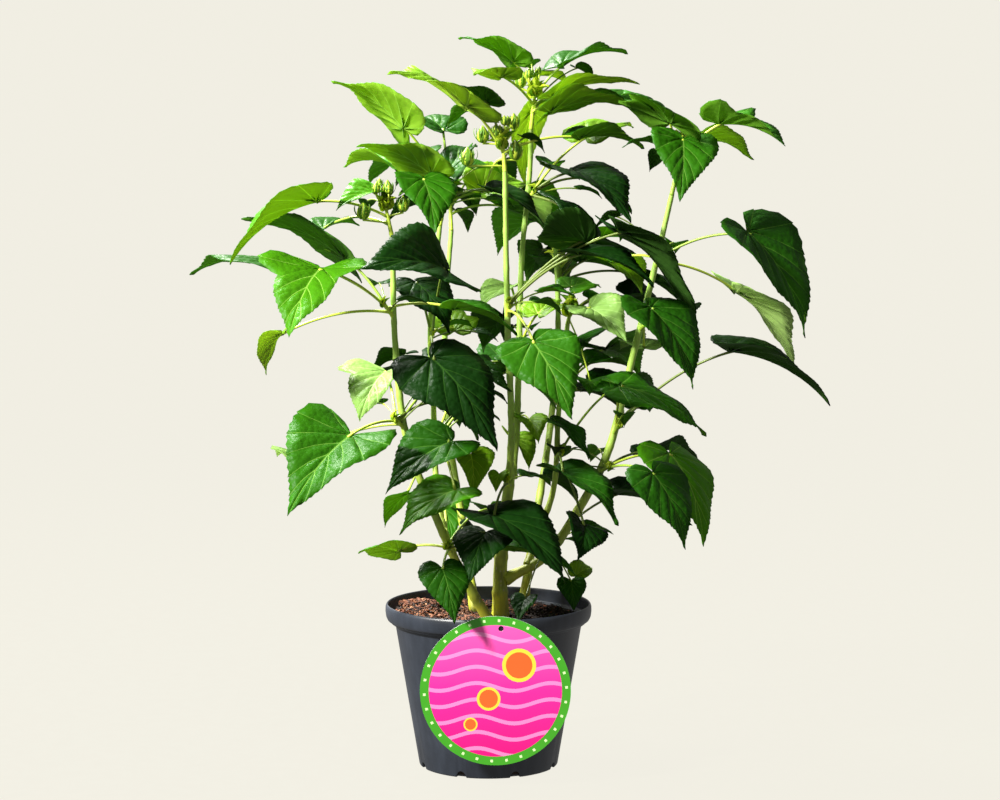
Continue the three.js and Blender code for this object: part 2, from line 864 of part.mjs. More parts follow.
function shootOf(mass) {
  const [way, rise, length] = mass.shoot;
  const foot = caneAtHeight(caneCurve(CANES[mass.cane]), mass.height);
  return { foot, tip: foot.clone().addScaledVector(heading(way, rise), length) };
}

// The place along a shoot where its next stalk leaves it.
function stalkFoot({ foot, tip }, { first, spread }, index, count) {
  return foot.clone().lerp(tip, first + (spread * (index + 0.5)) / count);
}

function shownLeaves(name) {
  const mass = FOLIAGE[name];
  const shoot = shootOf(mass);
  return mass.leaves.map(([way, out, up, blade, fall, turn, roll, fold], i) => ({
    mass: name,
    foot: stalkFoot(shoot, SHOWN_STALKS, i, mass.leaves.length),
    junction: shoot.foot.clone().addScaledVector(heading(way), out).add(new THREE.Vector3(0, 0, up)),
    blade,
    fall,
    heading: turn,
    roll,
    fold,
  }));
}

function ruledLeaves(name) {
  const mass = FOLIAGE[name];
  const shoot = shootOf(mass);
  const share = seededShares(mass.seed);
  const between = ([least, most]) => mix(least, most, share());
  const [count, middleWay] = mass.more;
  const leaves = [];
  for (let i = 0; i < count; i += 1) {
    const spiral = ((i * GOLDEN_TURN) % 360) / 360 - 0.5;
    const way = middleWay + RULE.spread * spiral + RULE.wobble * (share() - 0.5);
    const reach = between(RULE.stalk);
    const start = stalkFoot(shoot, RULED_STALKS, i, count);
    leaves.push({
      mass: name,
      foot: start,
      junction: start.clone().addScaledVector(heading(way, between(RULE.climb)), reach),
      blade: between(RULE.blade),
      fall: between(RULE.fall),
      heading: way + RULE.swing * (share() - 0.5),
      roll: RULE.roll * (share() - 0.5),
    });
  }
  return leaves;
}

// Points along the axes of the canes and of the shoots, with the radius of each.
function woodPointSets() {
  const canes = Object.values(CANES).map((cane) => {
    const curve = caneCurve(cane);
    const steps = Math.ceil(curve.getLength() / WOOD_TEST_STEP);
    return { points: curve.getSpacedPoints(steps), radius: cane.radii[0] };
  });
  const shoots = Object.entries(FOLIAGE).map(([name, mass]) => {
    const { foot, tip } = shootOf(mass);
    const points = new THREE.LineCurve3(foot, tip).getPoints(SHOOT_TEST_STEPS);
    return { points, radius: SHOOT_RADII[0], mass: name };
  });
  return [...canes, ...shoots];
}

function placeLeaves() {
  const placed = [];
  const wood = woodPointSets();
  const names = Object.keys(FOLIAGE);
  names.forEach((name) => shownLeaves(name).forEach((leaf) => settle(leaf, placed, wood)));
  names.forEach((name) => ruledLeaves(name).forEach((leaf) => settle(leaf, placed, wood)));
  return placed.map((entry) => entry.leaf);
}

// A pointed bud, placed from the shoot's foot, on a stalk that leaves the shoot a little below it.
function budSolid([way, out, up, size], { foot, tip }) {
  const seat = foot.clone().addScaledVector(heading(way), out).add(new THREE.Vector3(0, 0, up));
  const share = THREE.MathUtils.clamp(up / (tip.z - foot.z) - BUD_STALK_DROP, ...BUD_STALK_RANGE);
  const stalk = new THREE.LineCurve3(foot.clone().lerp(tip, share), seat);
  const bud = turned(BUD_PROFILE, BUD_SIDES);
  bud.scale(size, size, size);
  bud.translate(seat.x, seat.y, seat.z);
  return solidOf(bud).add(taperedTube(stalk, () => BUD_STALK_RADIUS, BUD_STALK_SIDES, 1));
}

// One mass: its shoot, then its stalks, blades and buds fused on, clear of every cane.
function foliageSolid(name, leaves, grownCanes) {
  const mass = FOLIAGE[name];
  const shoot = shootOf(mass);
  const stem = new THREE.LineCurve3(shoot.foot, shoot.tip);
  const pieces = [taperedTube(stem, (share) => mix(...SHOOT_RADII, share), SHOOT_SIDES, SHOOT_STEPS)];
  const mine = leaves.filter((leaf) => leaf.mass === name);
  mine.forEach((leaf) => pieces.push(stalkSolid(leaf), bladeSolid(leaf)));
  (mass.buds ?? []).forEach((bud) => pieces.push(budSolid(bud, shoot)));
  return largestBody(wasm.Manifold.union(pieces).subtract(grownCanes)).asOriginal().simplify(FINEST_EDGE);
}

// Assembly

function named(name, solid, look) {
  const [color, roughness, metalness] = LOOKS[look];
  const material = new THREE.MeshStandardMaterial({ color, roughness, metalness });
  const mesh = new THREE.Mesh(geometryOf(solid), material);
  mesh.name = name;
  return mesh;
}

function shrub() {
  const group = new THREE.Group();
  group.add(named("pot", potSolid(), "pot"));
  group.add(named("soil", soilSolid(), "soil"));
  group.add(named("label", labelSolid(), "label"));
  const grown = [];
  Object.entries(CANES).forEach(([name, cane]) => {
    let solid = caneSolid(cane);
    grown.forEach((other) => {
      solid = solid.subtract(other);
    });
    group.add(named(name, largestBody(solid), "cane"));
    grown.push(caneSolid(cane, GAP));
  });
  const grownCanes = wasm.Manifold.union(grown);
  const leaves = placeLeaves();
  Object.keys(FOLIAGE).forEach((name) => {
    group.add(named(name, foliageSolid(name, leaves, grownCanes), "foliage"));
  });
  return group;
}

export default shrub();
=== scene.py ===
# Potted hibiscus shrub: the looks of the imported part, in metres and in its frame.
# X to the right, Y away from the front, Z up, from the middle of the pot's underside.
import math

import bpy
import numpy as np
from mathutils import Matrix, Vector, noise


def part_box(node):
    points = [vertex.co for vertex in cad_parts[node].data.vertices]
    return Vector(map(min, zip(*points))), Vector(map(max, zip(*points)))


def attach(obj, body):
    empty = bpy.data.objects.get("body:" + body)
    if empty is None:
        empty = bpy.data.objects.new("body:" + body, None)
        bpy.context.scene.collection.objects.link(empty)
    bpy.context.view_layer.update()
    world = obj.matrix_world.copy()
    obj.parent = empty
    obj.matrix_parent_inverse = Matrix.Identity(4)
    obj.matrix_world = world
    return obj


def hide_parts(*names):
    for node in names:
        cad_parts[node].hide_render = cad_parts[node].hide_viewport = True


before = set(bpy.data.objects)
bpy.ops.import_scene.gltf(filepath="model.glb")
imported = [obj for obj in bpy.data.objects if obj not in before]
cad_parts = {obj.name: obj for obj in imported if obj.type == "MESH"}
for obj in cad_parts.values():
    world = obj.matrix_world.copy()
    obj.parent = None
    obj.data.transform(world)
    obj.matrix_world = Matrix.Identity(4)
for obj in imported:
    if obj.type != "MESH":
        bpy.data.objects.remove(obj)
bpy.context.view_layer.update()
scene = bpy.context.scene
scene.view_settings.view_transform = "Standard"


# Studio: a pale sweep of paper that runs back from the plant and rises behind it, a strong soft box
# high on the left, a weaker lamp behind, and a dim pale room.
SWEEP_HALF_WIDTH = 6.0
SWEEP_FRONT = -3.0
SWEEP_BACK = 2.6
SWEEP_RADIUS = 1.4
SWEEP_STEPS = 12
SWEEP_HEIGHT = 4.0
PAPER_GLOW = (0.876, 0.853, 0.765, 1.0)
FOCAL_LENGTH = 86.868
CAMERA_PLACE = (0.0106, -2.2, 0.527)
CAMERA_TILT = math.radians(85.07)


def start_clean():
    if bpy.context.mode != "OBJECT":
        bpy.ops.object.mode_set(mode="OBJECT")
    bpy.ops.object.select_all(action="DESELECT")


def open_mesh(choice="SELECT"):
    bpy.ops.object.mode_set(mode="EDIT")
    bpy.ops.mesh.select_all(action=choice)


def close_mesh():
    bpy.ops.object.mode_set(mode="OBJECT")


def choose_edges(piece, wanted):
    """Opens the mesh with the edges chosen whose two corners are both wanted."""
    open_mesh("DESELECT")
    close_mesh()
    for corner in piece.data.vertices:
        corner.select = wanted(corner.co)
    for edge in piece.data.edges:
        edge.select = all(piece.data.vertices[index].select for index in edge.vertices)
    bpy.ops.object.mode_set(mode="EDIT")


class Socket:
    """An output in a finish: arithmetic on it adds Math nodes."""

    def __init__(self, finish, output):
        self.finish = finish
        self.output = output

    def maths(self, operation, *values):
        return self.finish.node("ShaderNodeMath", {"operation": operation}, dict(enumerate(values)))

    def __add__(self, other):
        return self.maths("ADD", self, other)

    __radd__ = __add__

    def __mul__(self, other):
        return self.maths("MULTIPLY", self, other)

    __rmul__ = __mul__

    def __sub__(self, other):
        return self.maths("SUBTRACT", self, other)

    def __rsub__(self, other):
        return self.maths("SUBTRACT", other, self)

    def __truediv__(self, other):
        return self.maths("DIVIDE", self, other)

    def __gt__(self, other):
        return self.maths("GREATER_THAN", self, other)

    def __lt__(self, other):
        return self.maths("LESS_THAN", self, other)


class Finish:
    """A material of nodes. node() adds one of any type, and surface() ends it in a shader."""

    def __init__(self, name):
        self.material = bpy.data.materials.new(name)
        self.material.use_nodes = True
        self.tree = self.material.node_tree
        self.tree.nodes.clear()

    def node(self, kind, settings=None, sockets=None, output=0):
        made = self.tree.nodes.new(kind)
        for key, value in (settings or {}).items():
            if key == "stops":
                ramp = made.color_ramp
                while len(ramp.elements) < len(value):
                    ramp.elements.new(0.5)
                for stop, (place, colour) in zip(ramp.elements, value):
                    stop.position = place
                    stop.color = (*colour, 1.0)
            else:
                setattr(made, key, value)
        for key, value in (sockets or {}).items():
            if isinstance(value, Socket):
                self.tree.links.new(value.output, made.inputs[key])
            else:
                made.inputs[key].default_value = value
        return Socket(self, made.outputs[output]) if made.outputs else None

    def place(self):
        return self.node("ShaderNodeTexCoord", output="Object")

    def stretched(self, scale):
        return self.node("ShaderNodeMapping", None, {"Vector": self.place(), "Scale": scale})

    def noise(self, scale, detail=4.0, vector=None):
        sockets = {"Vector": vector or self.place(), "Scale": scale, "Detail": detail}
        return self.node("ShaderNodeTexNoise", None, sockets, "Fac")

    def ramp(self, factor, *stops):
        return self.node("ShaderNodeValToRGB", {"stops": stops}, {"Fac": factor})

    def mix(self, factor, first, second):
        settings = {"data_type": "RGBA"}
        return self.node("ShaderNodeMix", settings, {0: factor, 6: first, 7: second}, 2)

    def bump(self, height, strength, distance):
        sockets = {"Height": height, "Strength": strength, "Distance": distance}
        return self.node("ShaderNodeBump", None, sockets)

    def surface(self, sockets, glow=None):
        """Ends in a Principled shader; glow is a colour of light let through and its share."""
        shader = self.node("ShaderNodeBsdfPrincipled", None, sockets)
        if glow:
            colour, share = glow
            through = self.node("ShaderNodeBsdfTranslucent", None, {"Color": (*colour, 1.0)})
            shader = self.node("ShaderNodeMixShader", None, {0: share, 1: shader, 2: through})
        self.node("ShaderNodeOutputMaterial", None, {"Surface": shader})
        return self.material


def paper_sweep():
    start_clean()
    bpy.ops.mesh.primitive_plane_add(size=1.0, location=(0, 0, 0))
    sweep = bpy.context.active_object
    sweep.name = "paper_sweep"
    for corner in sweep.data.vertices:
        corner.co.x = math.copysign(SWEEP_HALF_WIDTH, corner.co.x)
        corner.co.y = SWEEP_BACK if corner.co.y > 0 else SWEEP_FRONT
    choose_edges(sweep, lambda place: place.y > 0)
    turns = [math.pi / 2 / SWEEP_STEPS * step for step in range(SWEEP_STEPS + 1)]
    for here, there in zip(turns, turns[1:]):
        back = SWEEP_RADIUS * (math.sin(there) - math.sin(here))
        rise = SWEEP_RADIUS * (math.cos(here) - math.cos(there))
        bpy.ops.mesh.extrude_edges_move(TRANSFORM_OT_translate={"value": (0, back, rise)})
    bpy.ops.mesh.extrude_edges_move(TRANSFORM_OT_translate={"value": (0, 0, SWEEP_HEIGHT)})
    close_mesh()
    bpy.ops.object.shade_smooth()
    paper = Finish("cream_paper")
    tone = paper.ramp(paper.noise(60.0), (0.3, (0.003, 0.003, 0.002)), (0.7, (0.005, 0.005, 0.004)))
    sockets = {"Base Color": tone, "Specular IOR Level": 0.0}
    sockets.update({"Emission Color": PAPER_GLOW, "Emission Strength": 1.0})
    sweep.data.materials.append(paper.surface(sockets))
    sweep.visible_diffuse = False
    sweep.visible_glossy = False
    sweep.visible_transmission = False


def lamp(name, place, aim, power, size, tint):
    light = bpy.data.lights.new(name, "AREA")
    light.energy = power
    light.size = size
    light.color = tint
    holder = bpy.data.objects.new(name, light)
    holder.location = place
    holder.rotation_euler = (Vector(aim) - Vector(place)).to_track_quat("-Z", "Y").to_euler()
    scene.collection.objects.link(holder)


def camera():
    eye = bpy.data.cameras.new("eye")
    eye.lens = FOCAL_LENGTH
    eye.sensor_width = 36.0
    eye.clip_start = 0.05
    eye.clip_end = 40.0
    holder = bpy.data.objects.new("eye", eye)
    holder.location = CAMERA_PLACE
    holder.rotation_euler = (CAMERA_TILT, 0.0, 0.0)
    scene.collection.objects.link(holder)
    scene.camera = holder


def pale_room():
    room = bpy.data.worlds.new("pale_room")
    room.use_nodes = True
    light = room.node_tree.nodes["Background"].inputs
    light["Color"].default_value = (1.0, 0.98, 0.93, 1.0)
    light["Strength"].default_value = 0.32
    scene.world = room


paper_sweep()
camera()
lamp("soft_box_left", (-1.65, -1.15, 1.65), (0, 0, 0.36), 190.0, 0.26, (1.0, 0.985, 0.93))
lamp("lamp_behind", (-0.8, 0.9, 1.8), (0, 0, 0.45), 150.0, 0.4, (1.0, 0.99, 0.95))
pale_room()


# Nursery pot: a thin black-grey plastic pot, moulded in one shot, whose wall widens to a step and then
# to a deeper band. It stands on a foot ring, and drain notches open through the foot of the wall.
POT_SIDES = 128
POT_FOOT_RADIUS = 0.063
POT_WALK = [
    (0.064, 0.001), (0.0736, 0.058), (0.086, 0.132), (0.090, 0.133), (0.0905, 0.1345),
    (0.0930, 0.1356), (0.0943, 0.1385), (0.0949, 0.1430), (0.0948, 0.1470), (0.0942, 0.1490),
    (0.0933, 0.150), (0.0924, 0.1494), (0.0921, 0.1470), (0.0917, 0.138), (0.0842, 0.131),
    (0.0622, 0.0025),
]
NOTCHES = 8
NOTCH_RADIUS = 0.006
NOTCH_CENTRE = 0.066
NOTCH_FLATNESS = 0.8
FOOT_RING = 0.007
FOOT_RECESS = 0.0008


def work_on(piece):
    """Chooses the piece alone and makes it the active one."""
    start_clean()
    piece.select_set(True)
    bpy.context.view_layer.objects.active = piece


def disc(name, sides, radius, height=0.0):
    """A flat round face, left open for more work on its mesh."""
    start_clean()
    bpy.ops.mesh.primitive_circle_add(
        vertices=sides, radius=radius, fill_type="NGON", location=(0, 0, height)
    )
    piece = bpy.context.active_object
    piece.name = name
    settle_place(piece)
    open_mesh()
    return piece


def pull_up(walk, radius, height):
    """Draws the chosen face along a profile of (radius, height) rings."""
    for next_radius, next_height in walk:
        bpy.ops.mesh.extrude_region_move(TRANSFORM_OT_translate={"value": (0, 0, next_height - height)})
        share = next_radius / radius
        bpy.ops.transform.resize(value=(share, share, 1.0), center_override=(0, 0, next_height))
        radius, height = next_radius, next_height


def add_cut(piece, cutter):
    cut = piece.modifiers.new("cut", "BOOLEAN")
    cut.object = cutter
    cut.solver = "EXACT"


def apply_modifiers(piece):
    work_on(piece)
    for modifier in list(piece.modifiers):
        bpy.ops.object.modifier_apply(modifier=modifier.name)


def settle_place(piece):
    """Puts the piece's place into its mesh, with its object at the origin."""
    work_on(piece)
    bpy.ops.object.transform_apply(location=True, rotation=True, scale=True)


def face_outwards(piece, merge=True):
    """Turns each shell outwards, with the points that lie on one another merged or left apart."""
    work_on(piece)
    open_mesh()
    if merge:
        bpy.ops.mesh.remove_doubles(threshold=1e-6)
    bpy.ops.mesh.normals_make_consistent(inside=False)
    close_mesh()


def choose_faces(piece, wanted):
    open_mesh("DESELECT")
    bpy.ops.mesh.select_mode(type="FACE")
    close_mesh()
    for face in piece.data.polygons:
        face.select = wanted(face)
    bpy.ops.object.mode_set(mode="EDIT")


def notch_cutters():
    cutters = []
    lie = Matrix.Rotation(math.pi / 2, 4, "Y")
    flat = Matrix.Diagonal((1, NOTCH_FLATNESS, 1, 1))
    out = Matrix.Translation((NOTCH_CENTRE, 0, 0))
    for index in range(NOTCHES):
        start_clean()
        bpy.ops.mesh.primitive_cylinder_add(vertices=24, radius=NOTCH_RADIUS, depth=2 * NOTCH_RADIUS)
        cutter = bpy.context.active_object
        turn = 2 * math.pi * (index + 0.5) / NOTCHES
        cutter.data.transform(Matrix.Rotation(turn, 4, "Z") @ out @ flat @ lie)
        cutters.append(cutter)
    for cutter in cutters:
        cutter.select_set(True)
    bpy.context.view_layer.objects.active = cutters[0]
    bpy.ops.object.join()
    return cutters[0]


def pot_plastic():
    plastic = Finish("pot_plastic")
    scuffs = plastic.noise(140.0, 6.0, plastic.stretched((1.0, 1.0, 0.25)))
    dust = plastic.noise(22.0, 5.0)
    grain = plastic.noise(2400.0, 2.0)
    tone = plastic.ramp(
        scuffs * 0.45 + dust * 0.55,
        (0.30, (0.014, 0.017, 0.024)), (0.52, (0.022, 0.027, 0.038)), (0.72, (0.034, 0.041, 0.056)),
    )
    relief = plastic.bump(grain * 0.25 + scuffs * 0.2 + dust * 0.5, 0.25, 0.0004)
    return plastic.surface({"Base Color": tone, "Roughness": 0.28 + dust * 0.20, "Normal": relief})


def nursery_pot():
    pot = disc("nursery_pot", POT_SIDES, POT_FOOT_RADIUS)
    pull_up(POT_WALK, POT_FOOT_RADIUS, 0.0)
    close_mesh()
    choose_faces(pot, lambda face: face.center.z < 1e-5 and len(face.vertices) > 4)
    bpy.ops.mesh.inset(thickness=FOOT_RING)
    bpy.ops.transform.translate(value=(0, 0, FOOT_RECESS))
    close_mesh()
    face_outwards(pot)
    cutter = notch_cutters()
    add_cut(pot, cutter)
    round_off = pot.modifiers.new("moulded_edges", "BEVEL")
    round_off.width = 0.0004
    round_off.segments = 2
    round_off.limit_method = "ANGLE"
    round_off.angle_limit = math.radians(28)
    apply_modifiers(pot)
    bpy.data.objects.remove(cutter, do_unlink=True)
    face_outwards(pot)
    bpy.ops.object.shade_smooth_by_angle(angle=math.radians(35))
    pot.data.materials.append(pot_plastic())
    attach(pot, "root")
    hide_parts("pot")


nursery_pot()


# Compost: a plug of red-brown bark that fills the pot to just under its band, heaped on the left, with
# fine loose chips lying on it, painted nearly black towards the right as the shade the leaves cast
# there.
SOIL_LEVEL = 0.138
SOIL_SIDES = 112
SOIL_FOOT = (0.0619, 0.0028)
SOIL_WALK = [(0.0836, 0.131), (0.0866, 0.136), (0.0825, 0.1375)]
SOIL_TOP_FROM = 0.1365
SOIL_INSETS = 15
SOIL_INSET = 0.0052
SOIL_FLAT_REACH = 0.041
SOIL_SLOPE_WIDTH = 0.017
CHIP_COUNT = 4600
CHIP_LENGTHS = (0.0007, 0.0022)
LONG_CHIP = 1.6
LONG_CHIP_SHARE = 0.08
CHIP_REACH = 0.0845
CHIP_WALL = 0.0858
BOX_CORNERS = np.array([(x, y, z) for x in (-1, 1) for y in (-1, 1) for z in (-1, 1)], float)
BOX_SIDES = np.array([
    (0, 1, 3), (0, 3, 2), (4, 6, 7), (4, 7, 5), (0, 4, 5), (0, 5, 1),
    (2, 3, 7), (2, 7, 6), (0, 2, 6), (0, 6, 4), (1, 5, 7), (1, 7, 3),
])
# Shares of the four browns where the compost is lit, and the mostly dark shares that paint the shade on
# the right.
LIT_BARK_MIX = np.array((0.36, 0.42, 0.17, 0.05))
SHADED_BARK_MIX = np.array((0.92, 0.07, 0.01, 0.0))


def swelling(x, y, at_x, at_y, height, width):
    return height * np.exp(-((x - at_x) ** 2 + (y - at_y) ** 2) / width**2)


def soil_height(x, y):
    share = np.clip((np.hypot(x, y) - SOIL_FLAT_REACH) / SOIL_SLOPE_WIDTH, 0.0, 1.0)
    share = share * share * (3 - 2 * share)
    heap = swelling(x, y, -0.064, 0.020, 0.0105, 0.035)
    dip = swelling(x, y, 0.060, 0.010, -0.006, 0.030)
    return SOIL_LEVEL + share * (heap + dip - 0.001)


def joined_mesh(name, points, triangles, looks, look_of, smooth):
    """One mesh from arrays of points and triangles, with a look for each triangle."""
    mesh = bpy.data.meshes.new(name)
    mesh.vertices.add(len(points))
    mesh.vertices.foreach_set("co", np.asarray(points, np.float32).ravel())
    mesh.loops.add(3 * len(triangles))
    mesh.loops.foreach_set("vertex_index", np.asarray(triangles, np.int32).ravel())
    mesh.polygons.add(len(triangles))
    mesh.polygons.foreach_set("loop_start", np.arange(0, 3 * len(triangles), 3, dtype=np.int32))
    mesh.polygons.foreach_set("material_index", np.asarray(look_of, np.int32))
    mesh.polygons.foreach_set("use_smooth", np.full(len(triangles), smooth))
    mesh.update(calc_edges=True)
    for look in looks:
        mesh.materials.append(look)
    piece = bpy.data.objects.new(name, mesh)
    scene.collection.objects.link(piece)
    return piece


def compost_finish():
    peat = Finish("compost")
    crumbs = peat.noise(420.0, 6.0)
    tone = peat.ramp(
        crumbs * 0.7 + peat.noise(60.0, 3.0) * 0.3,
        (0.36, (0.010, 0.006, 0.004)), (0.50, (0.022, 0.010, 0.006)), (0.66, (0.060, 0.022, 0.010)),
    )
    relief = peat.bump(crumbs, 0.9, 0.0015)
    return peat.surface({"Base Color": tone, "Roughness": 0.95, "Normal": relief})


def bark_compost():
    plug = disc("bark_compost", SOIL_SIDES, *SOIL_FOOT)
    pull_up(SOIL_WALK, *SOIL_FOOT)
    for _ in range(SOIL_INSETS):
        bpy.ops.mesh.inset(thickness=SOIL_INSET)
    close_mesh()
    for corner in plug.data.vertices:
        x, y, z = corner.co
        if z > SOIL_TOP_FROM:
            fine = noise.noise(Vector((x, y, 0)) * 260) * 0.0009
            coarse = noise.noise(Vector((x, y, 5)) * 90) * 0.0012
            corner.co.z = soil_height(x, y) + fine + coarse - 0.0006
    face_outwards(plug)
    bpy.ops.object.shade_smooth()
    plug.data.materials.append(compost_finish())
    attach(plug, "root")
    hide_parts("soil")


def plain_finish(name, colour, roughness, bump_scale=0.0, bump_depth=0.0, glow=None):
    """One even colour, so that it stays in its place, with a fine relief."""
    finish = Finish(name)
    sockets = {"Base Color": (*colour, 1.0), "Roughness": roughness}
    if bump_scale:
        sockets["Normal"] = finish.bump(finish.noise(bump_scale, 3.0), 0.5, bump_depth)
    return finish.surface(sockets, glow)


def bark_chip(draw):
    """One chip's corners, where it lies on the compost, and its brown, with painted shade darkening it
    towards the right.
    """
    reach = CHIP_REACH * math.sqrt(draw.random())
    turn = draw.random() * 2 * math.pi
    x, y = reach * math.cos(turn), reach * math.sin(turn)
    long = draw.uniform(*CHIP_LENGTHS) * (LONG_CHIP if draw.random() < LONG_CHIP_SHARE else 1.0)
    size = np.array([long, long * draw.uniform(0.25, 0.6), long * draw.uniform(0.12, 0.3)])
    corners = BOX_CORNERS * size * (1 + draw.uniform(-0.35, 0.35, (8, 3)))
    spin = Matrix.Rotation(draw.random() * 6.283, 3, "Z")
    tilt = Matrix.Rotation(draw.uniform(-0.6, 0.6), 3, "Y")
    corners = corners @ np.array(spin @ tilt).T
    room = CHIP_WALL - reach - long
    if room < 0:
        x, y = x * (1 + room / reach), y * (1 + room / reach)
    corners += (x, y, soil_height(x, y) + draw.uniform(0.0, 0.0016))
    # Painted shade: chips towards the right mostly take the darkest brown, standing in for the shade of
    # the leaves.
    painted_shade = 1 / (1 + math.exp(-110 * (x + 0.004)))
    shares = LIT_BARK_MIX * (1 - painted_shade) + SHADED_BARK_MIX * painted_shade
    return corners, draw.choice(4, p=shares / shares.sum())


def loose_chips():
    draw = np.random.default_rng(41)
    points, looks = zip(*(bark_chip(draw) for _ in range(CHIP_COUNT)))
    sides = (BOX_SIDES + 8 * np.arange(CHIP_COUNT)[:, None, None]).reshape(-1, 3)
    looks = np.repeat(looks, len(BOX_SIDES))
    browns = [
        plain_finish("bark_dark", (0.018, 0.008, 0.005), 0.9, 900, 0.0004),
        plain_finish("bark_red", (0.125, 0.036, 0.012), 0.85, 900, 0.0004),
        plain_finish("bark_tan", (0.200, 0.072, 0.024), 0.8, 900, 0.0004),
        plain_finish("bark_fleck", (0.330, 0.160, 0.075), 0.8, 900, 0.0003),
    ]
    chips = joined_mesh("bark_chips", np.concatenate(points), sides, browns, looks, False)
    face_outwards(chips, merge=False)
    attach(chips, "root")


bark_compost()
loose_chips()


# Label: a round printed card, 134 mm across and 0.8 mm thick, that hangs upright in front of the rim by
# a strap hooked over it. Its print here is plain: green edge, pink field with pale waves, round spots.
CARD_SIDES = 128
CARD_RADIUS = 0.0668
CARD_THICKNESS = 0.0008
CARD_CENTRE = Vector((0.0065, -0.0953, 0.0872))
CARD_HOLE = (0.005, 0.0558)
CARD_HOLE_RADIUS = 0.0024
CARD_SPOTS = ((-0.022, -0.030, 0.0062), (-0.006, -0.007, 0.0105), (0.021, 0.023, 0.0150))
STRAP_HALF_WIDTH = 0.006
STRAP_HEIGHT = 0.0636
STRAP_DEPTH = 0.0052
STRAP_STEPS = [(0, -0.0004, -0.0004), (0, -0.0084, 0)]


def sine(value):
    return value.maths("SINE", value)


def distance(x, y):
    square = x * x + y * y
    return square.maths("SQRT", square)


def dot(finish, vector, direction):
    sockets = {0: vector, 1: direction}
    return finish.node("ShaderNodeVectorMath", {"operation": "DOT_PRODUCT"}, sockets, "Value")


def card_print(turn):
    """Waves and spots on the card's front, by place on the card, and a plain pale back."""
    ink = Finish("label_print")
    place = ink.node("ShaderNodeVectorMath", {"operation": "SUBTRACT"}, {0: ink.place(), 1: CARD_CENTRE})
    x, y = dot(ink, place, turn.col[0]), dot(ink, place, turn.col[1])
    radius, angle = distance(x, y), y.maths("ARCTAN2", y, x)
    print_colour = ink.ramp(
        y / (2 * CARD_RADIUS) + 0.5,
        (0.08, (0.76, 0.004, 0.19)), (0.50, (0.83, 0.020, 0.30)), (0.95, (0.85, 0.10, 0.42)),
    )
    band = sine((y + sine(x * 95.0) * 0.0035) * 430.0)
    print_colour = ink.mix((band > 0.72) * 0.6, print_colour, (0.91, 0.36, 0.68, 1.0))
    for spot_x, spot_y, size in CARD_SPOTS:
        away = distance(x - spot_x, y - spot_y)
        print_colour = ink.mix(away < size, print_colour, (0.96, 0.62, 0.05, 1.0))
        print_colour = ink.mix(away < size * 0.78, print_colour, (0.90, 0.12, 0.02, 1.0))
    green = ink.mix(ink.noise(40.0), (0.040, 0.29, 0.012, 1.0), (0.060, 0.35, 0.018, 1.0))
    dots = (sine(angle * 30.0) > 0.86) * ((radius > 0.0618) * (radius < 0.0642))
    green = ink.mix(dots, green, (0.62, 0.86, 0.42, 1.0))
    print_colour = ink.mix(radius > 0.0590, print_colour, green)
    facing = dot(ink, ink.node("ShaderNodeNewGeometry", output="Normal"), turn.col[2])
    print_colour = ink.mix(facing > 0.5, (0.82, 0.82, 0.80, 1.0), print_colour)
    gloss = 0.28 + ink.noise(700.0, 2.0) * 0.1
    relief = ink.bump(ink.noise(90.0, 2.0), 0.12, 0.0006)
    return ink.surface({"Base Color": print_colour, "Roughness": gloss, "Normal": relief})


def round_label():
    card = disc("round_label", CARD_SIDES, CARD_RADIUS)
    bpy.ops.mesh.extrude_region_move(TRANSFORM_OT_translate={"value": (0, 0, CARD_THICKNESS)})
    close_mesh()
    bpy.ops.mesh.primitive_cylinder_add(
        vertices=32, radius=CARD_HOLE_RADIUS, depth=0.01, location=(*CARD_HOLE, 0.0)
    )
    punch = bpy.context.active_object
    add_cut(card, punch)
    apply_modifiers(card)
    bpy.data.objects.remove(punch, do_unlink=True)
    strap = label_strap()
    work_on(card)
    strap.select_set(True)
    bpy.ops.object.join()
    turn = Matrix.Rotation(math.pi / 2, 4, "X")
    card.data.transform(Matrix.Translation(CARD_CENTRE) @ turn)
    face_outwards(card, merge=False)
    bpy.ops.object.shade_smooth_by_angle(angle=math.radians(40))
    card.data.materials.append(card_print(turn.to_3x3()))
    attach(card, "root")
    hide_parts("label")


def label_strap():
    """A strip that runs back from the card over the rim and hooks down behind it."""
    start_clean()
    bpy.ops.mesh.primitive_plane_add(size=1.0, location=(0, 0, 0))
    strap = bpy.context.active_object
    for corner in strap.data.vertices:
        corner.co.x = math.copysign(STRAP_HALF_WIDTH, corner.co.x)
        corner.co.z = CARD_THICKNESS / 2 if corner.co.y > 0 else -STRAP_DEPTH
        corner.co.y = STRAP_HEIGHT
    choose_edges(strap, lambda place: place.z < 0)
    for step in STRAP_STEPS:
        bpy.ops.mesh.extrude_edges_move(TRANSFORM_OT_translate={"value": step})
    close_mesh()
    wall = strap.modifiers.new("thickness", "SOLIDIFY")
    wall.thickness = 0.0007
    wall.offset = 0.0
    soften = strap.modifiers.new("fold", "BEVEL")
    soften.width = 0.0003
    soften.segments = 2
    apply_modifiers(strap)
    return strap


round_label()


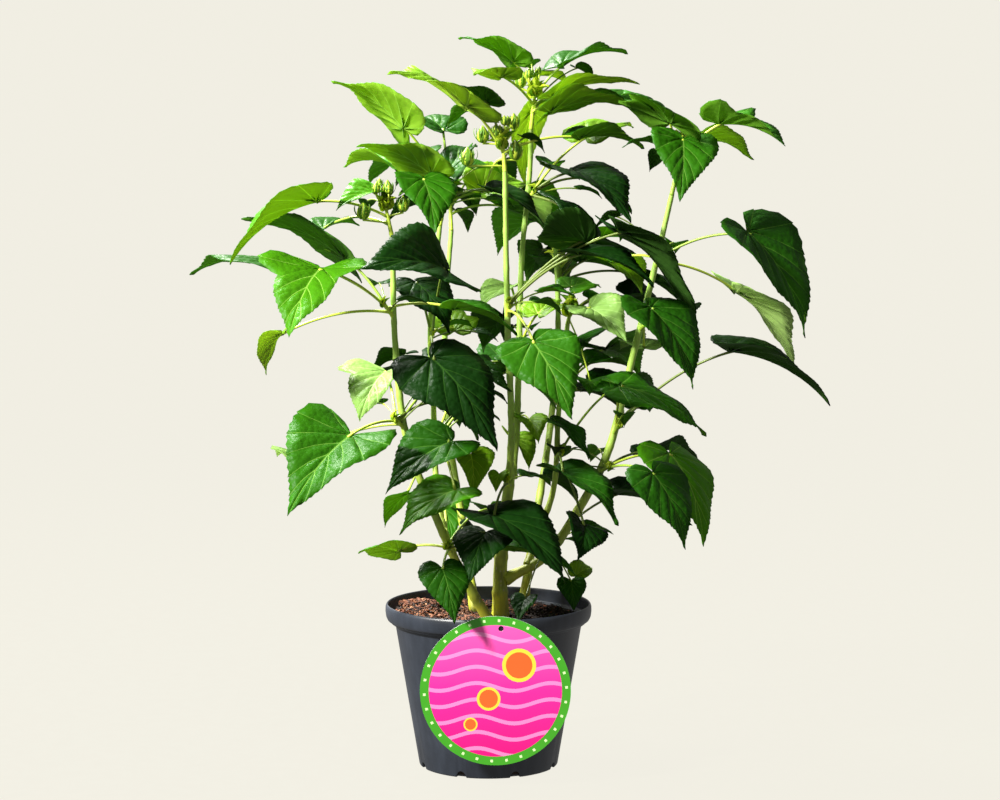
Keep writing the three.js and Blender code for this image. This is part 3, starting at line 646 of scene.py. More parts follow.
# Canes: one stout stem with smaller ones forking off it, and three more from the same root, all green
# young wood turning olive-brown at the foot, swollen a little at each old leaf joint.
# Each has its radius at foot and tip, the flare of its foot and its axis, in millimetres.
CANES = {
    "trunk": {
        "radii": (7.2, 4.6), "flare": 3.2,
        "axis": [(11, -8, 130), (11, -10, 182), (15, -10, 228), (20, -8, 270)],
    },
    "front_cane": {
        "radii": (3.3, 2.3),
        "axis": [(19, -11, 266), (21, -18, 310), (18, -26, 394), (16, -30, 475), (15, -30, 545)],
    },
    "rear_cane": {
        "radii": (3.2, 2.2),
        "axis": [
            (22, -5, 266), (26, 12, 308), (28, 22, 382), (31, 31, 470), (38, 32, 545), (39, 30, 584),
        ],
    },
    "left_cane": {
        "radii": (4.2, 2.3), "flare": 1.6,
        "axis": [
            (5, -24, 130), (-17, -32, 169), (-46, -40, 232), (-73, -44, 306), (-83, -46, 390),
            (-85, -48, 485),
        ],
    },
    "left_rear_cane": {
        "radii": (3, 2.1),
        "axis": [
            (-33, -37, 202), (-44, -8, 234), (-49, 14, 271), (-51, 26, 330), (-54, 32, 400),
            (-45, 36, 496),
        ],
    },
    "right_cane": {
        "radii": (4.6, 2.3),
        "axis": [
            (15, -10, 173), (52, -3, 193), (84, 3, 238), (108, 6, 284), (133, 4, 380), (156, -4, 478),
            (166, -8, 524),
        ],
    },
    "right_rear_cane": {
        "radii": (3, 2.1),
        "axis": [(36, -5, 186), (46, 18, 212), (60, 28, 250), (65, 34, 320), (73, 32, 404)],
    },
    "back_left_cane": {
        "radii": (4, 2.2), "flare": 1.6,
        "axis": [(-12, 18, 130), (-22, 48, 200), (-38, 84, 300), (-42, 104, 400), (-36, 112, 490)],
    },
    "back_right_cane": {
        "radii": (4, 2.2), "flare": 1.6,
        "axis": [(30, 16, 130), (42, 50, 205), (58, 88, 300), (66, 106, 390), (64, 112, 480)],
    },
}
MILLIMETRE = 0.001
FOOT = 138.3
FLARE_DECAY = 11
CANE_STEP = 2.4
JOINT_SPACING = 33.0
JOINT_LENGTH = 2.6
JOINT_SWELLING = 0.11
COLLAR_LENGTH = 9.0
COLLAR_SWELLING = 0.45
RIB_DEPTH = 0.00016
LUMP_DEPTH = 0.0002


def curve_at(points, shares):
    """Points of a centripetal Catmull-Rom curve, whose ends run straight on."""
    points = np.asarray(points, float)
    last = len(points) - 1
    row = np.vstack([2 * points[0] - points[1], points, 2 * points[last] - points[last - 1]])
    place = np.clip(np.asarray(shares, float), 0, 1) * last
    index = np.minimum(np.floor(place).astype(int), last - 1)
    weight = (place - index)[:, None]
    before, start, end, after = (row[index + shift] for shift in range(4))
    pairs = ((before, start), (start, end), (end, after))
    gap = [np.sum((two - one) ** 2, axis=1)[:, None] ** 0.25 for one, two in pairs]
    leave = (start - before) / gap[0] - (end - before) / (gap[0] + gap[1]) + (end - start) / gap[1]
    arrive = (end - start) / gap[1] - (after - start) / (gap[1] + gap[2]) + (after - end) / gap[2]
    leave, arrive = leave * gap[1], arrive * gap[1]
    square = -3 * start + 3 * end - 2 * leave - arrive
    cube = 2 * start - 2 * end + leave + arrive
    return start + weight * (leave + weight * (square + weight * cube))


class CaneLine:
    """A cane's axis, read by share of its length."""

    def __init__(self, cane):
        self.axis = cane["axis"]
        steps = np.linspace(0, 1, 201)
        walk = curve_at(self.axis, steps)
        self.lengths = np.concatenate([[0], np.cumsum(np.linalg.norm(np.diff(walk, axis=0), axis=1))])
        self.steps = steps
        self.length = self.lengths[-1]

    def at(self, shares):
        shares = np.atleast_1d(shares)
        return curve_at(self.axis, np.interp(shares * self.length, self.lengths, self.steps))

    def at_height(self, height):
        low, high = 0.0, 1.0
        for _ in range(24):
            middle = (low + high) / 2
            if self.at(middle)[0, 2] < height:
                low = middle
            else:
                high = middle
        return self.at(high)[0]


CANE_LINES = {name: CaneLine(cane) for name, cane in CANES.items()}


def cane_radius(cane, shares):
    foot, tip = cane["radii"]
    return foot + (tip - foot) * shares + cane.get("flare", 0.0) * np.exp(-FLARE_DECAY * shares)


def bark_radius(name, shares):
    """The cane's radius with the swelling at its old leaf joints and the collar where it forks off."""
    cane, line = CANES[name], CANE_LINES[name]
    along = shares * line.length
    beat = (along + 7.0 * len(name)) / JOINT_SPACING
    joint = np.exp(-((beat - np.round(beat)) * JOINT_SPACING / JOINT_LENGTH) ** 2)
    forked = 0.0 if "flare" in cane else COLLAR_SWELLING
    collar = forked * np.exp(-((along / COLLAR_LENGTH) ** 2))
    return cane_radius(cane, shares) * (1 + JOINT_SWELLING * joint + collar)


def bark_finish():
    bark = Finish("green_cane")
    height = bark.node("ShaderNodeSeparateXYZ", None, {"Vector": bark.place()}, "Z")
    streaks = bark.noise(900.0, 4.0, bark.stretched((1.0, 1.0, 0.07)))
    patches = bark.noise(70.0, 4.0)
    age = (height - 0.138) / 0.30 + (patches - 0.5) * 0.5
    tone = bark.ramp(
        age,
        (0.02, (0.470, 0.470, 0.035)), (0.25, (0.430, 0.550, 0.055)),
        (0.60, (0.350, 0.540, 0.075)), (1.00, (0.320, 0.530, 0.078)),
    )
    tone = bark.mix((streaks > 0.60) * 0.35, tone, (0.16, 0.12, 0.035, 1.0))
    # Dark green mottles, strongest towards the foot of the canes: partly the bark's own mottling, partly
    # painted shade under the leaves.
    blotches = bark.noise(90.0, 5.0, bark.stretched((1.0, 1.0, 0.45)))
    mottles = bark.ramp(blotches, (0.47, (0, 0, 0)), (0.66, (1, 1, 1)))
    low = bark.ramp(age, (0.20, (0.55, 0.55, 0.55)), (0.75, (0.08, 0.08, 0.08)))
    tone = bark.mix(low * mottles, tone, (0.060, 0.100, 0.014, 1.0))
    cells = {"Vector": bark.stretched((1, 1, 0.45)), "Scale": 260.0}
    pores = bark.node("ShaderNodeTexVoronoi", None, cells)
    dots = (pores < 0.16) * (patches > 0.45)
    tone = bark.mix(dots * 0.7, tone, (0.42, 0.38, 0.20, 1.0))
    relief = bark.bump(streaks * 0.6 + dots * 0.5, 0.5, 0.0005)
    return bark.surface({"Base Color": tone, "Roughness": 0.42 + patches * 0.2, "Normal": relief})


def cane_curve():
    curve = bpy.data.curves.new("canes", "CURVE")
    curve.dimensions = "3D"
    curve.bevel_depth = MILLIMETRE
    curve.bevel_resolution = 6
    curve.use_fill_caps = True
    for name, line in CANE_LINES.items():
        steps = int(line.length / CANE_STEP)
        shares = np.linspace(0, 1, steps + 1)
        places = line.at(shares) * MILLIMETRE
        spline = curve.splines.new("POLY")
        spline.points.add(steps)
        spline.points.foreach_set("co", np.column_stack([places, np.ones(steps + 1)]).ravel())
        spline.points.foreach_set("radius", bark_radius(name, shares))
    return curve


def canes():
    piece = bpy.data.objects.new("canes", cane_curve())
    scene.collection.objects.link(piece)
    work_on(piece)
    bpy.ops.object.convert(target="MESH")
    piece = bpy.context.active_object
    open_mesh()
    foot = (0, 0, FOOT * MILLIMETRE)
    bpy.ops.mesh.bisect(plane_co=foot, plane_no=(0, 0, 1), use_fill=True, clear_inner=True)
    close_mesh()
    face_outwards(piece, merge=False)
    roughen(piece)
    bpy.ops.object.shade_smooth_by_angle(angle=math.radians(60))
    piece.data.materials.append(bark_finish())
    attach(piece, "root")
    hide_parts(*CANES)


def roughen(piece):
    """Moves the bark's points in and out a little: shallow ribs along the cane and small lumps."""
    for corner in piece.data.vertices:
        if corner.co.z < FOOT * MILLIMETRE + 1e-5:
            continue
        rib = noise.noise(Vector((corner.co.x * 420, corner.co.y * 420, corner.co.z * 25)))
        lump = noise.noise(corner.co * 140)
        corner.co += corner.normal * (RIB_DEPTH * rib + LUMP_DEPTH * lump)


canes()


# Shoots, stalks and leaves: each short side shoot carries long-stalked heart-shaped leaves, the ones
# that show from the front at their own places and the rest by a seeded rule. A leaf with no room is
# left off.

# Each mass, in millimetres and degrees: its cane and the shoot's height there, the shoot's heading,
# rise and length, how many leaves the rule adds and round which way, its own leaves as (way, out, up,
# blade, fall, heading, roll, fold), their tints, which paint how lit or shaded each leaf looks (painted
# light and shade), which are lobed, and its buds as (way, out, up, size).
FOLIAGE = {
    "foliage_top_rear": {
        "cane": "rear_cane", "height": 584, "shoot": (320, 82, 36), "seed": 47, "more": (1, 60),
        "leaves": [
            (89, 30, 18, 71, 84, 126, -24, -4), (289, 52, 15, 74, -5, 9, -20, 4),
            (300, 35, 29, 82, -8, 4, -8, 4), (227, 40, 47, 53, 1, 242, 2, 1),
            (70, 16, 50, 42, 14, 35, 0), (0, 29, 58, 71, -10, 29, -4, 17),
            (210, 19, 62, 61, -18, 211, 4, 6),
        ],
        "tints": "ybyyymg", "buds": [(200, 10, 44, 12)],
    },
    "foliage_top_front": {
        "cane": "front_cane", "height": 545, "shoot": (180, 86, 26), "seed": 202, "more": (1, 90),
        "leaves": [
            (103, 92, -18, 69, -5, 54, 31, 24), (211, 39, 59, 103, -13, 228, -18, -2),
            (147, 20, 70, 55, -13, 224, -3, 3),
        ],
        "tints": "yyd",
        "buds": [
            (190, 34, 12, 14), (175, 20, 32, 13), (160, 8, 34, 12), (20, 10, 18, 15), (60, 16, 44, 12),
        ],
    },
    "foliage_top_left_rear": {
        "cane": "left_rear_cane", "height": 496, "shoot": (350, 77, 38), "seed": 119, "more": (1, 60),
        "leaves": [
            (259, 37, 48, 79, -17, 210, 15, 6), (258, 65, 43, 67, 49, 285, -7, 4),
            (285, 26, 46, 60, -28, 58, 0), (158, 40, 52, 80, -2, 135, 0),
            (219, 41, 89, 79, -32, 194, 22, 7), (82, 24, 88, 60, -10, 120, 0),
        ],
        "tints": "bgmbbm", "lobed": (2,), "buds": [(180, 6, 62, 12)],
    },
    "foliage_top_left": {
        "cane": "left_cane", "height": 485, "shoot": (180, 78, 32), "seed": 41, "more": (0, 60),
        "leaves": [
            (128, 110, 8, 45, -3, 45, 0), (190, 68, 34, 95, 36, 192, 5, 22),
            (154, 18, 42, 44, 22, 216, -19, 20),
        ],
        "tints": "mbb", "buds": [(205, 28, 24, 13), (20, 10, 30, 12), (150, 5, 44, 12)],
    },
    "foliage_left_upper": {
        "cane": "left_cane", "height": 415, "shoot": (225, 48, 18), "seed": 12, "more": (1, 70),
        "leaves": [
            (184, 100, -14, 47, 55, 127, -21, 20), (214, 75, 45, 99, 34, 255, -5, 11),
            (164, 45, 52, 105, -20, 167, 24, 4), (146, 129, 46, 116, 6, 144, 4, -5),
        ],
        "tints": "ybmm", "lobed": (1,),
    },
    "foliage_left_lower": {
        "cane": "left_cane", "height": 315, "shoot": (230, 40, 18), "seed": 133, "more": (2, 60),
        "leaves": [
            (172, 94, -28, 60, 4, 118, 0), (227, 67, -1, 109, 34, 237, -19, 13),
            (104, 82, 46, 83, 29, 253, 0),
        ],
        "tints": "pgp", "lobed": (2,),
    },
    "foliage_mid_left_upper": {
        "cane": "left_rear_cane", "height": 385, "shoot": (280, 46, 22), "seed": 8, "more": (2, 60),
        "leaves": [
            (272, 114, -3, 105, 49, 328, 25, -3), (254, 45, 61, 69, 41, 309, 6, 1),
            (278, 129, 74, 100, -2, 224, -39, 9), (35, 27, 13, 50, -20, 100, 0),
        ],
        "tints": "dddy", "lobed": (3,),
    },
    "foliage_mid_left_lower": {
        "cane": "left_rear_cane", "height": 290, "shoot": (285, 44, 22), "seed": 41, "more": (3, 90),
        "leaves": [
            (225, 33, -38, 47, 48, 137, -1, -3), (287, 77, -27, 72, 30, 216, -14, 4),
            (302, 64, 0, 48, 46, 275, -11, 20), (282, 85, 16, 81, 32, 213, -22, 6),
        ],
        "tints": "gbym",
    },
    "foliage_foot_left": {
        "cane": "left_cane", "height": 202, "shoot": (250, 35, 16), "seed": 12, "more": (2, 70),
        "leaves": [
            (262, 55, -5, 54, 60, 295, 6, -5), (168, 49, 0, 53, -4, 228, 24, -4),
            (327, 37, 22, 64, 38, 254, -2, -4), (97, 98, 29, 61, 33, 282, 0),
        ],
        "tints": "mbdg",
    },
    "foliage_front_mid": {
        "cane": "front_cane", "height": 414, "shoot": (275, 55, 20), "seed": 105, "more": (1, 70),
        "leaves": [
            (284, 88, -16, 85, 49, 307, 22, -3), (93, 54, -4, 68, 34, 111, 0, 23),
            (339, 74, 69, 69, -4, 231, 60, 45), (340, 105, 80, 114, 51, 12, -2, 4),
        ],
        "tints": "gddd",
    },
    "foliage_rear_mid": {
        "cane": "rear_cane", "height": 380, "shoot": (76, 44, 17), "seed": 65, "more": (0, 80),
        "leaves": [(325, 21, 36, 45, -13, 58, 0), (95, 62, 58, 57, 22, 235, 0)], "tints": "yp",
    },
    "foliage_rear_low": {
        "cane": "rear_cane", "height": 310, "shoot": (76, 51, 13), "seed": 68, "more": (0, 80),
        "leaves": [(99, 28, -12, 43, 42, 300, -18, 22), (297, 23, 12, 38, 30, 285, 0, 22)],
        "tints": "yy",
    },
    "foliage_rear_right": {
        "cane": "rear_cane", "height": 515, "shoot": (327, 60, 18), "seed": 119, "more": (1, 90),
        "leaves": [
            (87, 40, 2, 44, 38, 60, 0), (319, 72, -21, 60, -34, 155, -2, -3),
            (341, 43, 31, 93, 30, 310, 0, 10), (6, 56, 62, 68, -9, 47, 6, 8),
        ],
        "tints": "pddy",
    },
    "foliage_top_right": {
        "cane": "right_cane", "height": 524, "shoot": (0, 78, 36), "seed": 12, "more": (1, 160),
        "leaves": [
            (281, 37, 50, 73, 50, 263, -16, 10), (58, 55, 54, 62, 20, 25, -9, 6),
            (256, 12, 58, 91, -14, 237, -18, -4), (356, 42, 64, 70, 17, 327, -6, 25),
        ],
        "tints": "gbgg", "lobed": (2, 3), "buds": [(90, 5, 48, 12)],
    },
    "foliage_right_upper": {
        "cane": "right_cane", "height": 458, "shoot": (300, 44, 18), "seed": 131, "more": (0, 150),
        "leaves": [
            (17, 80, -22, 104, 48, 35, 15, 6), (130, 57, 4, 60, 32, 53, 0),
            (330, 92, 34, 108, 61, 346, 24, 11),
        ],
        "tints": "pbm",
    },
    "foliage_right_mid": {
        "cane": "right_cane", "height": 401, "shoot": (295, 28, 18), "seed": 15, "more": (1, 150),
        "leaves": [(82, 60, -20, 50, 5, 115, 0), (274, 70, 25, 88, 52, 310, 0, 9)], "tints": "pm",
    },
    "foliage_right_lower": {
        "cane": "right_cane", "height": 305, "shoot": (288, 38, 18), "seed": 91, "more": (1, 150),
        "leaves": [(271, 64, 50, 92, 30, 4, 17, -5), (332, 115, 81, 103, 29, 0, 2, 20)], "tints": "gd",
    },
    "foliage_right_low": {
        "cane": "right_cane", "height": 270, "shoot": (300, 24, 18), "seed": 199, "more": (1, 120),
        "leaves": [
            (307, 75, 7, 76, 61, 320, 11, 1), (127, 75, -20, 41, 42, 18, 8, 38),
            (0, 65, 18, 96, 57, 302, -12, -2),
        ],
        "tints": "mdb",
    },
    "foliage_mid_right": {
        "cane": "right_rear_cane", "height": 404, "shoot": (323, 76, 16), "seed": 50, "more": (1, 120),
        "leaves": [
            (20, 23, -52, 40, 16, 267, 0), (149, 15, 14, 40, 12, 109, 0),
            (328, 23, 17, 62, 30, 308, 20), (67, 8, 35, 43, 2, 46, 17, 4),
        ],
        "tints": "gppb",
    },
    "foliage_low_right": {
        "cane": "right_rear_cane", "height": 277, "shoot": (289, 44, 18), "seed": 181, "more": (1, 110),
        "leaves": [
            (337, 26, -52, 52, 31, 260, -36, 11), (271, 80, 0, 78, 34, 322, -4, 13),
            (264, 40, 41, 57, 36, 315, -11, 5),
        ],
        "tints": "dmm",
    },
    "foliage_low_front": {
        "cane": "trunk", "height": 256, "shoot": (262, 43, 20), "seed": 191, "more": (0, 120),
        "leaves": [(256, 66, -7, 101, 32, 320, 3, 7), (238, 16, 16, 22, 45, 259, 4, 17)], "tints": "dy",
    },
    "foliage_foot_right": {
        "cane": "right_cane", "height": 194, "shoot": (80, 30, 20), "seed": 105, "more": (1, 90),
        "leaves": [
            (47, 40, -24, 30, -8, 58, 35, 33), (336, 25, -23, 32, 56, 277, 0, -4),
            (230, 30, -30, 30, 40, 252, 0),
        ],
        "tints": "ymd",
    },
    "foliage_back_left_top": {
        "cane": "back_left_cane", "height": 490, "shoot": (100, 76, 40), "seed": 53, "more": (6, 90),
        "leaves": [],
    },
    "foliage_back_left_low": {
        "cane": "back_left_cane", "height": 330, "shoot": (110, 45, 24), "seed": 68, "more": (5, 90),
        "leaves": [],
    },
    "foliage_back_right_top": {
        "cane": "back_right_cane", "height": 425, "shoot": (70, 76, 40), "seed": 104, "more": (5, 60),
        "leaves": [],
    },
    "foliage_back_right_low": {
        "cane": "back_right_cane", "height": 320, "shoot": (60, 45, 24), "seed": 75, "more": (4, 90),
        "leaves": [],
    },
}
SIDESTEPS = [
    (0, 0), (-10, 0), (10, 0), (-20, 0), (20, 0), (0, 7), (0, -7), (-10, 7), (10, 7),
    (-10, -7), (10, -7), (-32, 0), (32, 0), (-20, 9), (20, 9), (-44, 0), (44, 0),
]
BLADE_EDGE = [(-0.16, 0.2), (0.06, 0.4), (0.42, 0.34), (0.76, 0.12), (1.0, 0.0)]
BLADE_BEND = math.radians(46)
BLADE_FOLD = 16
STALK_RADIUS = 1.5
STALK_SIDES = 7
STALK_SHARE = 0.86
FINE_STALK_SHARE = 0.55
KNEE_AT_FOOT = (0.30, 0.06)
KNEE_AT_BLADE = (0.22, 0.07)
GOLDEN_TURN = 137.5
BLADE_TO_BLADE = 9
BLADE_TO_BLADE_IN_ONE_SHOOT = 5
BLADE_TO_STALK = 8
BLADE_TO_CANE = 6
STALK_TO_STALK = 5
STALK_TO_CANE = 4
NEVER_TOUCHES = 250
EAR_SHARE = -0.14
EAR_SIDE = 0.2
RULED_STALK = (45, 88)
RULED_BLADE = (58, 92)
FINE_STALK = (16, 60)
FINE_COUNT_AND_BLADE = (3, (20, 34))
FINE_BACK_COUNT_AND_BLADE = (9, (34, 66))
SHOOT_RADII = (2.1, 1.3)
SHOOT_RINGS = 25
SHOOT_SIDES = 10
SHOOT_JOINTS = 6
SHADED_FROM = 60
UP = np.array([0.0, 0.0, 1.0])


def heading(way, slope=0.0):
    level = math.cos(math.radians(slope))
    way = math.radians(way)
    return np.array([level * math.cos(way), level * math.sin(way), math.sin(math.radians(slope))])


def seeded_shares(seed):
    """Shares from 0 to 1, the same row for the same seed."""
    state = seed
    while True:
        state = (state * 1664525 + 1013904223) % 4294967296
        yield state / 4294967296


def blade_points(leaf, share, side, height):
    """Points of a blade: share of its length, half width with its side as sign, height over its face."""
    along = heading(leaf["heading"])
    across = np.cross(UP, along)
    chord = heading(leaf["heading"], -leaf["fall"])
    first = math.radians(leaf["fall"]) - BLADE_BEND / 2
    blade = leaf["blade"]
    arc = blade / 2 / math.sin(BLADE_BEND / 2)
    fold = math.radians(leaf.get("fold", BLADE_FOLD))
    share, side, height = (np.asarray(value, float)[:, None] for value in (share, side, height))
    ahead, behind = np.maximum(share, 0), np.minimum(share, 0)
    slope = first + BLADE_BEND * ahead
    place = along * (arc * (np.sin(slope) - math.sin(first)) + behind * blade * math.cos(first))
    place = place + UP * (arc * (np.cos(slope) - math.cos(first)) - behind * blade * math.sin(first))
    normal = along * np.sin(slope) + UP * np.cos(slope)
    place = place + across * side * blade * math.cos(fold)
    place = place + normal * (np.abs(side) * blade * math.sin(fold) + height)
    roll = math.radians(leaf["roll"])
    turned = place * math.cos(roll) + np.cross(chord, place) * math.sin(roll)
    turned = turned + chord * (place @ chord)[:, None] * (1 - math.cos(roll))
    return turned + leaf["junction"]


def stalk_line(leaf, steps):
    foot, junction = leaf["foot"], leaf["junction"]
    middle = (foot + junction) / 2 + UP * 0.16 * np.linalg.norm(junction - foot)
    end = blade_points(leaf, [0.04], [0], [0])[0]
    share = np.linspace(0, 1, steps + 1)[:, None]
    return (1 - share) ** 2 * foot + 2 * share * (1 - share) * middle + share**2 * end


def blade_width(share):
    places, widths = zip(*BLADE_EDGE)
    return np.interp(share, places, widths)


def test_points(leaf):
    rows = np.repeat(np.arange(9) / 8, 7)
    columns = np.tile(np.arange(-3, 4) / 3, 9)
    share = np.append(rows, (EAR_SHARE, EAR_SHARE))
    side = np.append(columns * blade_width(rows), (EAR_SIDE, -EAR_SIDE))
    return blade_points(leaf, share, side, np.zeros(len(share))), stalk_line(leaf, 14)


def too_near(points, others, limit):
    if (points.min(0) > others.max(0) + limit).any() or (points.max(0) < others.min(0) - limit).any():
        return False
    apart = points[:, None, :] - others[None, :, :]
    return (np.einsum("ijk,ijk->ij", apart, apart) < limit * limit).any()


def clear_of_wood(leaf, blade, stalk, wood):
    for points, radius, mass in wood:
        if mass == leaf["mass"]:
            continue
        if too_near(blade, points, radius + BLADE_TO_CANE):
            return False
        if too_near(stalk[5:], points, radius + STALK_TO_CANE):
            return False
    return True


def clear_of_leaves(leaf, blade, stalk, placed):
    for other in placed:
        if np.linalg.norm(leaf["junction"] - other["junction"]) > NEVER_TOUCHES:
            continue
        kin = other["mass"] == leaf["mass"]
        if too_near(blade, other["points"], BLADE_TO_BLADE_IN_ONE_SHOOT if kin else BLADE_TO_BLADE):
            return False
        if kin:
            continue
        if too_near(blade, other["stalk"], BLADE_TO_STALK):
            return False
        if too_near(stalk, other["points"], BLADE_TO_STALK):
            return False
        if too_near(stalk, other["stalk"], STALK_TO_STALK):
            return False
    return True


def settle(leaf, placed, wood, inside=None):
    """Keeps a leaf at the first free place near the wanted one; one with none is left off."""
    wanted = leaf["junction"]
    for depth, rise in SIDESTEPS:
        leaf["junction"] = wanted + np.array([0, depth, rise])
        blade, stalk = test_points(leaf)
        if inside is not None and not inside(blade):
            continue
        if clear_of_wood(leaf, blade, stalk, wood) and clear_of_leaves(leaf, blade, stalk, placed):
            leaf["points"], leaf["stalk"] = blade, stalk
            placed.append(leaf)
            return


def shoot_of(mass):
    way, rise, length = mass["shoot"]
    foot = CANE_LINES[mass["cane"]].at_height(mass["height"])
    return foot, foot + heading(way, rise) * length


def shown_leaves(name, mass):
    foot, tip = shoot_of(mass)
    count = len(mass["leaves"])
    for index, (way, out, up, blade, fall, turn, roll, *fold) in enumerate(mass["leaves"]):
        yield {
            "mass": name,
            "foot": foot + (tip - foot) * (0.3 + 0.66 * (index + 0.5) / count),
            "junction": foot + heading(way) * out + UP * up,
            "blade": blade,
            "fall": fall,
            "heading": turn,
            "roll": roll,
            "tint": mass["tints"][index],
            "fold": fold[0] if fold else BLADE_FOLD,
            "form": "lobed" if index in mass.get("lobed", ()) else "heart",
        }


def ruled_leaves(name, mass, seed, count, middle_way, stalk, blade):
    foot, tip = shoot_of(mass)
    shares = seeded_shares(seed)

    def between(least, most):
        return least + (most - least) * next(shares)

    for index in range(count):
        spiral = ((index * GOLDEN_TURN) % 360) / 360 - 0.5
        way = middle_way + 150 * spiral + 24 * (next(shares) - 0.5)
        reach = between(*stalk)
        start = foot + (tip - foot) * (0.35 + 0.6 * (index + 0.5) / count)
        yield {
            "mass": name,
            "foot": start,
            "junction": start + heading(way, between(5, 50)) * reach,
            "blade": between(*blade),
            "fall": between(8, 46),
            "heading": way + 40 * (next(shares) - 0.5),
            "roll": 36 * (next(shares) - 0.5),
            "tint": "dmgmd"[(seed + index) % 5],
            "form": "heart",
        }


def wood_points():
    wood = []
    for name, cane in CANES.items():
        line = CANE_LINES[name]
        steps = math.ceil(line.length / 5)
        wood.append((line.at(np.linspace(0, 1, steps + 1)), cane["radii"][0], None))
    for name, mass in FOLIAGE.items():
        foot, tip = shoot_of(mass)
        wood.append((foot + (tip - foot) * np.linspace(0, 1, 7)[:, None], SHOOT_RADII[0], name))
    return wood


def reach_of(name):
    """Whether points stay in the space that the mass's solid reaches."""
    low, high = (np.array(corner) * 1000 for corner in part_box(name))

    def inside(points):
        return (points > low - 3).all() and (points < high + 3).all()

    return inside


def grow_leaves():
    placed, wood = [], wood_points()
    for name, mass in FOLIAGE.items():
        for leaf in shown_leaves(name, mass):
            settle(leaf, placed, wood)
    for name, mass in FOLIAGE.items():
        count, way = mass["more"]
        for leaf in ruled_leaves(name, mass, mass["seed"], count, way, RULED_STALK, RULED_BLADE):
            settle(leaf, placed, wood)
    for name, mass in FOLIAGE.items():
        inside = reach_of(name)
        back = name.startswith("foliage_back")
        count, blade = FINE_BACK_COUNT_AND_BLADE if back else FINE_COUNT_AND_BLADE
        seed, way = mass["seed"] + 7, mass["more"][1]
        for leaf in ruled_leaves(name, mass, seed, count, way, FINE_STALK, blade):
            settle(leaf, placed, wood, inside)
    return placed


# Half a blade, from the base of its midrib round its edge to the tip: the edge's corners, then each vein
# as the share of the edge where it ends and its start along the midrib.
BLADES = {
    "heart": {
        "edge": [
            (0.0, 0.0), (-0.085, 0.05), (-0.158, 0.13), (-0.170, 0.22), (-0.110, 0.335),
            (0.030, 0.415), (0.200, 0.425), (0.360, 0.370), (0.520, 0.275), (0.680, 0.165),
            (0.830, 0.075), (0.930, 0.025), (1.0, 0.0),
        ],
        "veins": [(0.22, 0.0), (0.42, 0.0), (0.575, 0.0), (0.70, 0.17), (0.80, 0.36), (0.89, 0.56)],
    },
    "lobed": {
        "edge": [
            (0.0, 0.0), (-0.085, 0.06), (-0.150, 0.16), (-0.140, 0.29), (-0.060, 0.385),
            (0.090, 0.455), (0.240, 0.500), (0.300, 0.400), (0.350, 0.285), (0.450, 0.270),
            (0.580, 0.240), (0.720, 0.165), (0.860, 0.070), (1.0, 0.0),
        ],
        "veins": [(0.20, 0.0), (0.44, 0.0), (0.63, 0.0), (0.74, 0.20), (0.83, 0.42), (0.91, 0.62)],
    },
}
VEIN_COLUMNS = np.array([0.0, 0.10, 0.30, 0.54, 0.78, 1.0])
LINES_BETWEEN_VEINS = 4
MIDRIB_HALF_WIDTH = 0.010
BASE_VEIN_HALF_WIDTH = 0.0068
VEIN_HALF_WIDTH = 0.0050
VEIN_TAPER = 0.72
VEIN_BOW = 0.035
TOOTH = 0.0105
TOOTH_GAP = -0.0045


def edge_line(corners):
    walk = curve_at([(share, width, 0.0) for share, width in corners], np.linspace(0, 1, 400))[:, :2]
    walk[:, 1] = np.maximum(walk[:, 1], 0.0)
    lengths = np.concatenate([[0], np.cumsum(np.linalg.norm(np.diff(walk, axis=0), axis=1))])
    return walk, lengths / lengths[-1]


def blade_lines(form, between):
    """Lines from the midrib to the edge: share of the edge, start on the midrib, which vein, bulge."""
    veins = [(0.0, 0.0)] + BLADES[form]["veins"] + [(1.0, 1.0)]
    lines = []
    for index in range(len(veins) - 1):
        (here, start), (there, end) = veins[index], veins[index + 1]
        for step in range(1, between + 1):
            share = step / (between + 1)
            edge, origin = here + (there - here) * share, start + (end - start) * share
            lines.append((edge, origin, 0, math.sin(math.pi * share)))
        if index < len(veins) - 2:
            lines.append((there, end, -1, 0.0))
            lines.append((there, end, 1, 0.0))
    return [(0.0, 0.0, 0, 0.0)] + lines + [(1.0, 1.0, 0, 0.0)]


def line_points(number, line, walk, shares, columns):
    """One line's points, from the midrib to the edge, with bulge, ridge and edge weights."""
    edge_share, start, beside, bulge = line
    edge = np.array([np.interp(edge_share, shares, walk[:, axis]) for axis in (0, 1)])
    origin = np.array([start, MIDRIB_HALF_WIDTH * (1 - start) ** 0.8])
    ray = edge - origin
    far = np.linalg.norm(ray) + 1e-9
    beside_ray = np.array([-ray[1], ray[0]]) / far
    for column in columns:
        bow = np.array([-VEIN_BOW, 0.0]) * math.sin(math.pi * column) * min(1.0, far / 0.3)
        place = origin + ray * column + bow * (start > 0)
        half = (VEIN_HALF_WIDTH if start else BASE_VEIN_HALF_WIDTH) * (1 - VEIN_TAPER * column)
        if start == 0:
            half *= min(1.0, column / 0.10)
        place = place - beside_ray * beside * half
        if column == 1.0 and 0.02 < edge_share < 0.97:
            place = place + ray / far * (TOOTH if number % 2 else TOOTH_GAP)
        swell = bulge * math.sin(math.pi * min(column**0.8, 1.0)) * min(1.0, far / 0.35)
        ridge = abs(beside) * (1 - 0.7 * column)
        yield place[0], max(place[1], 0.0), swell, ridge, column, edge_share


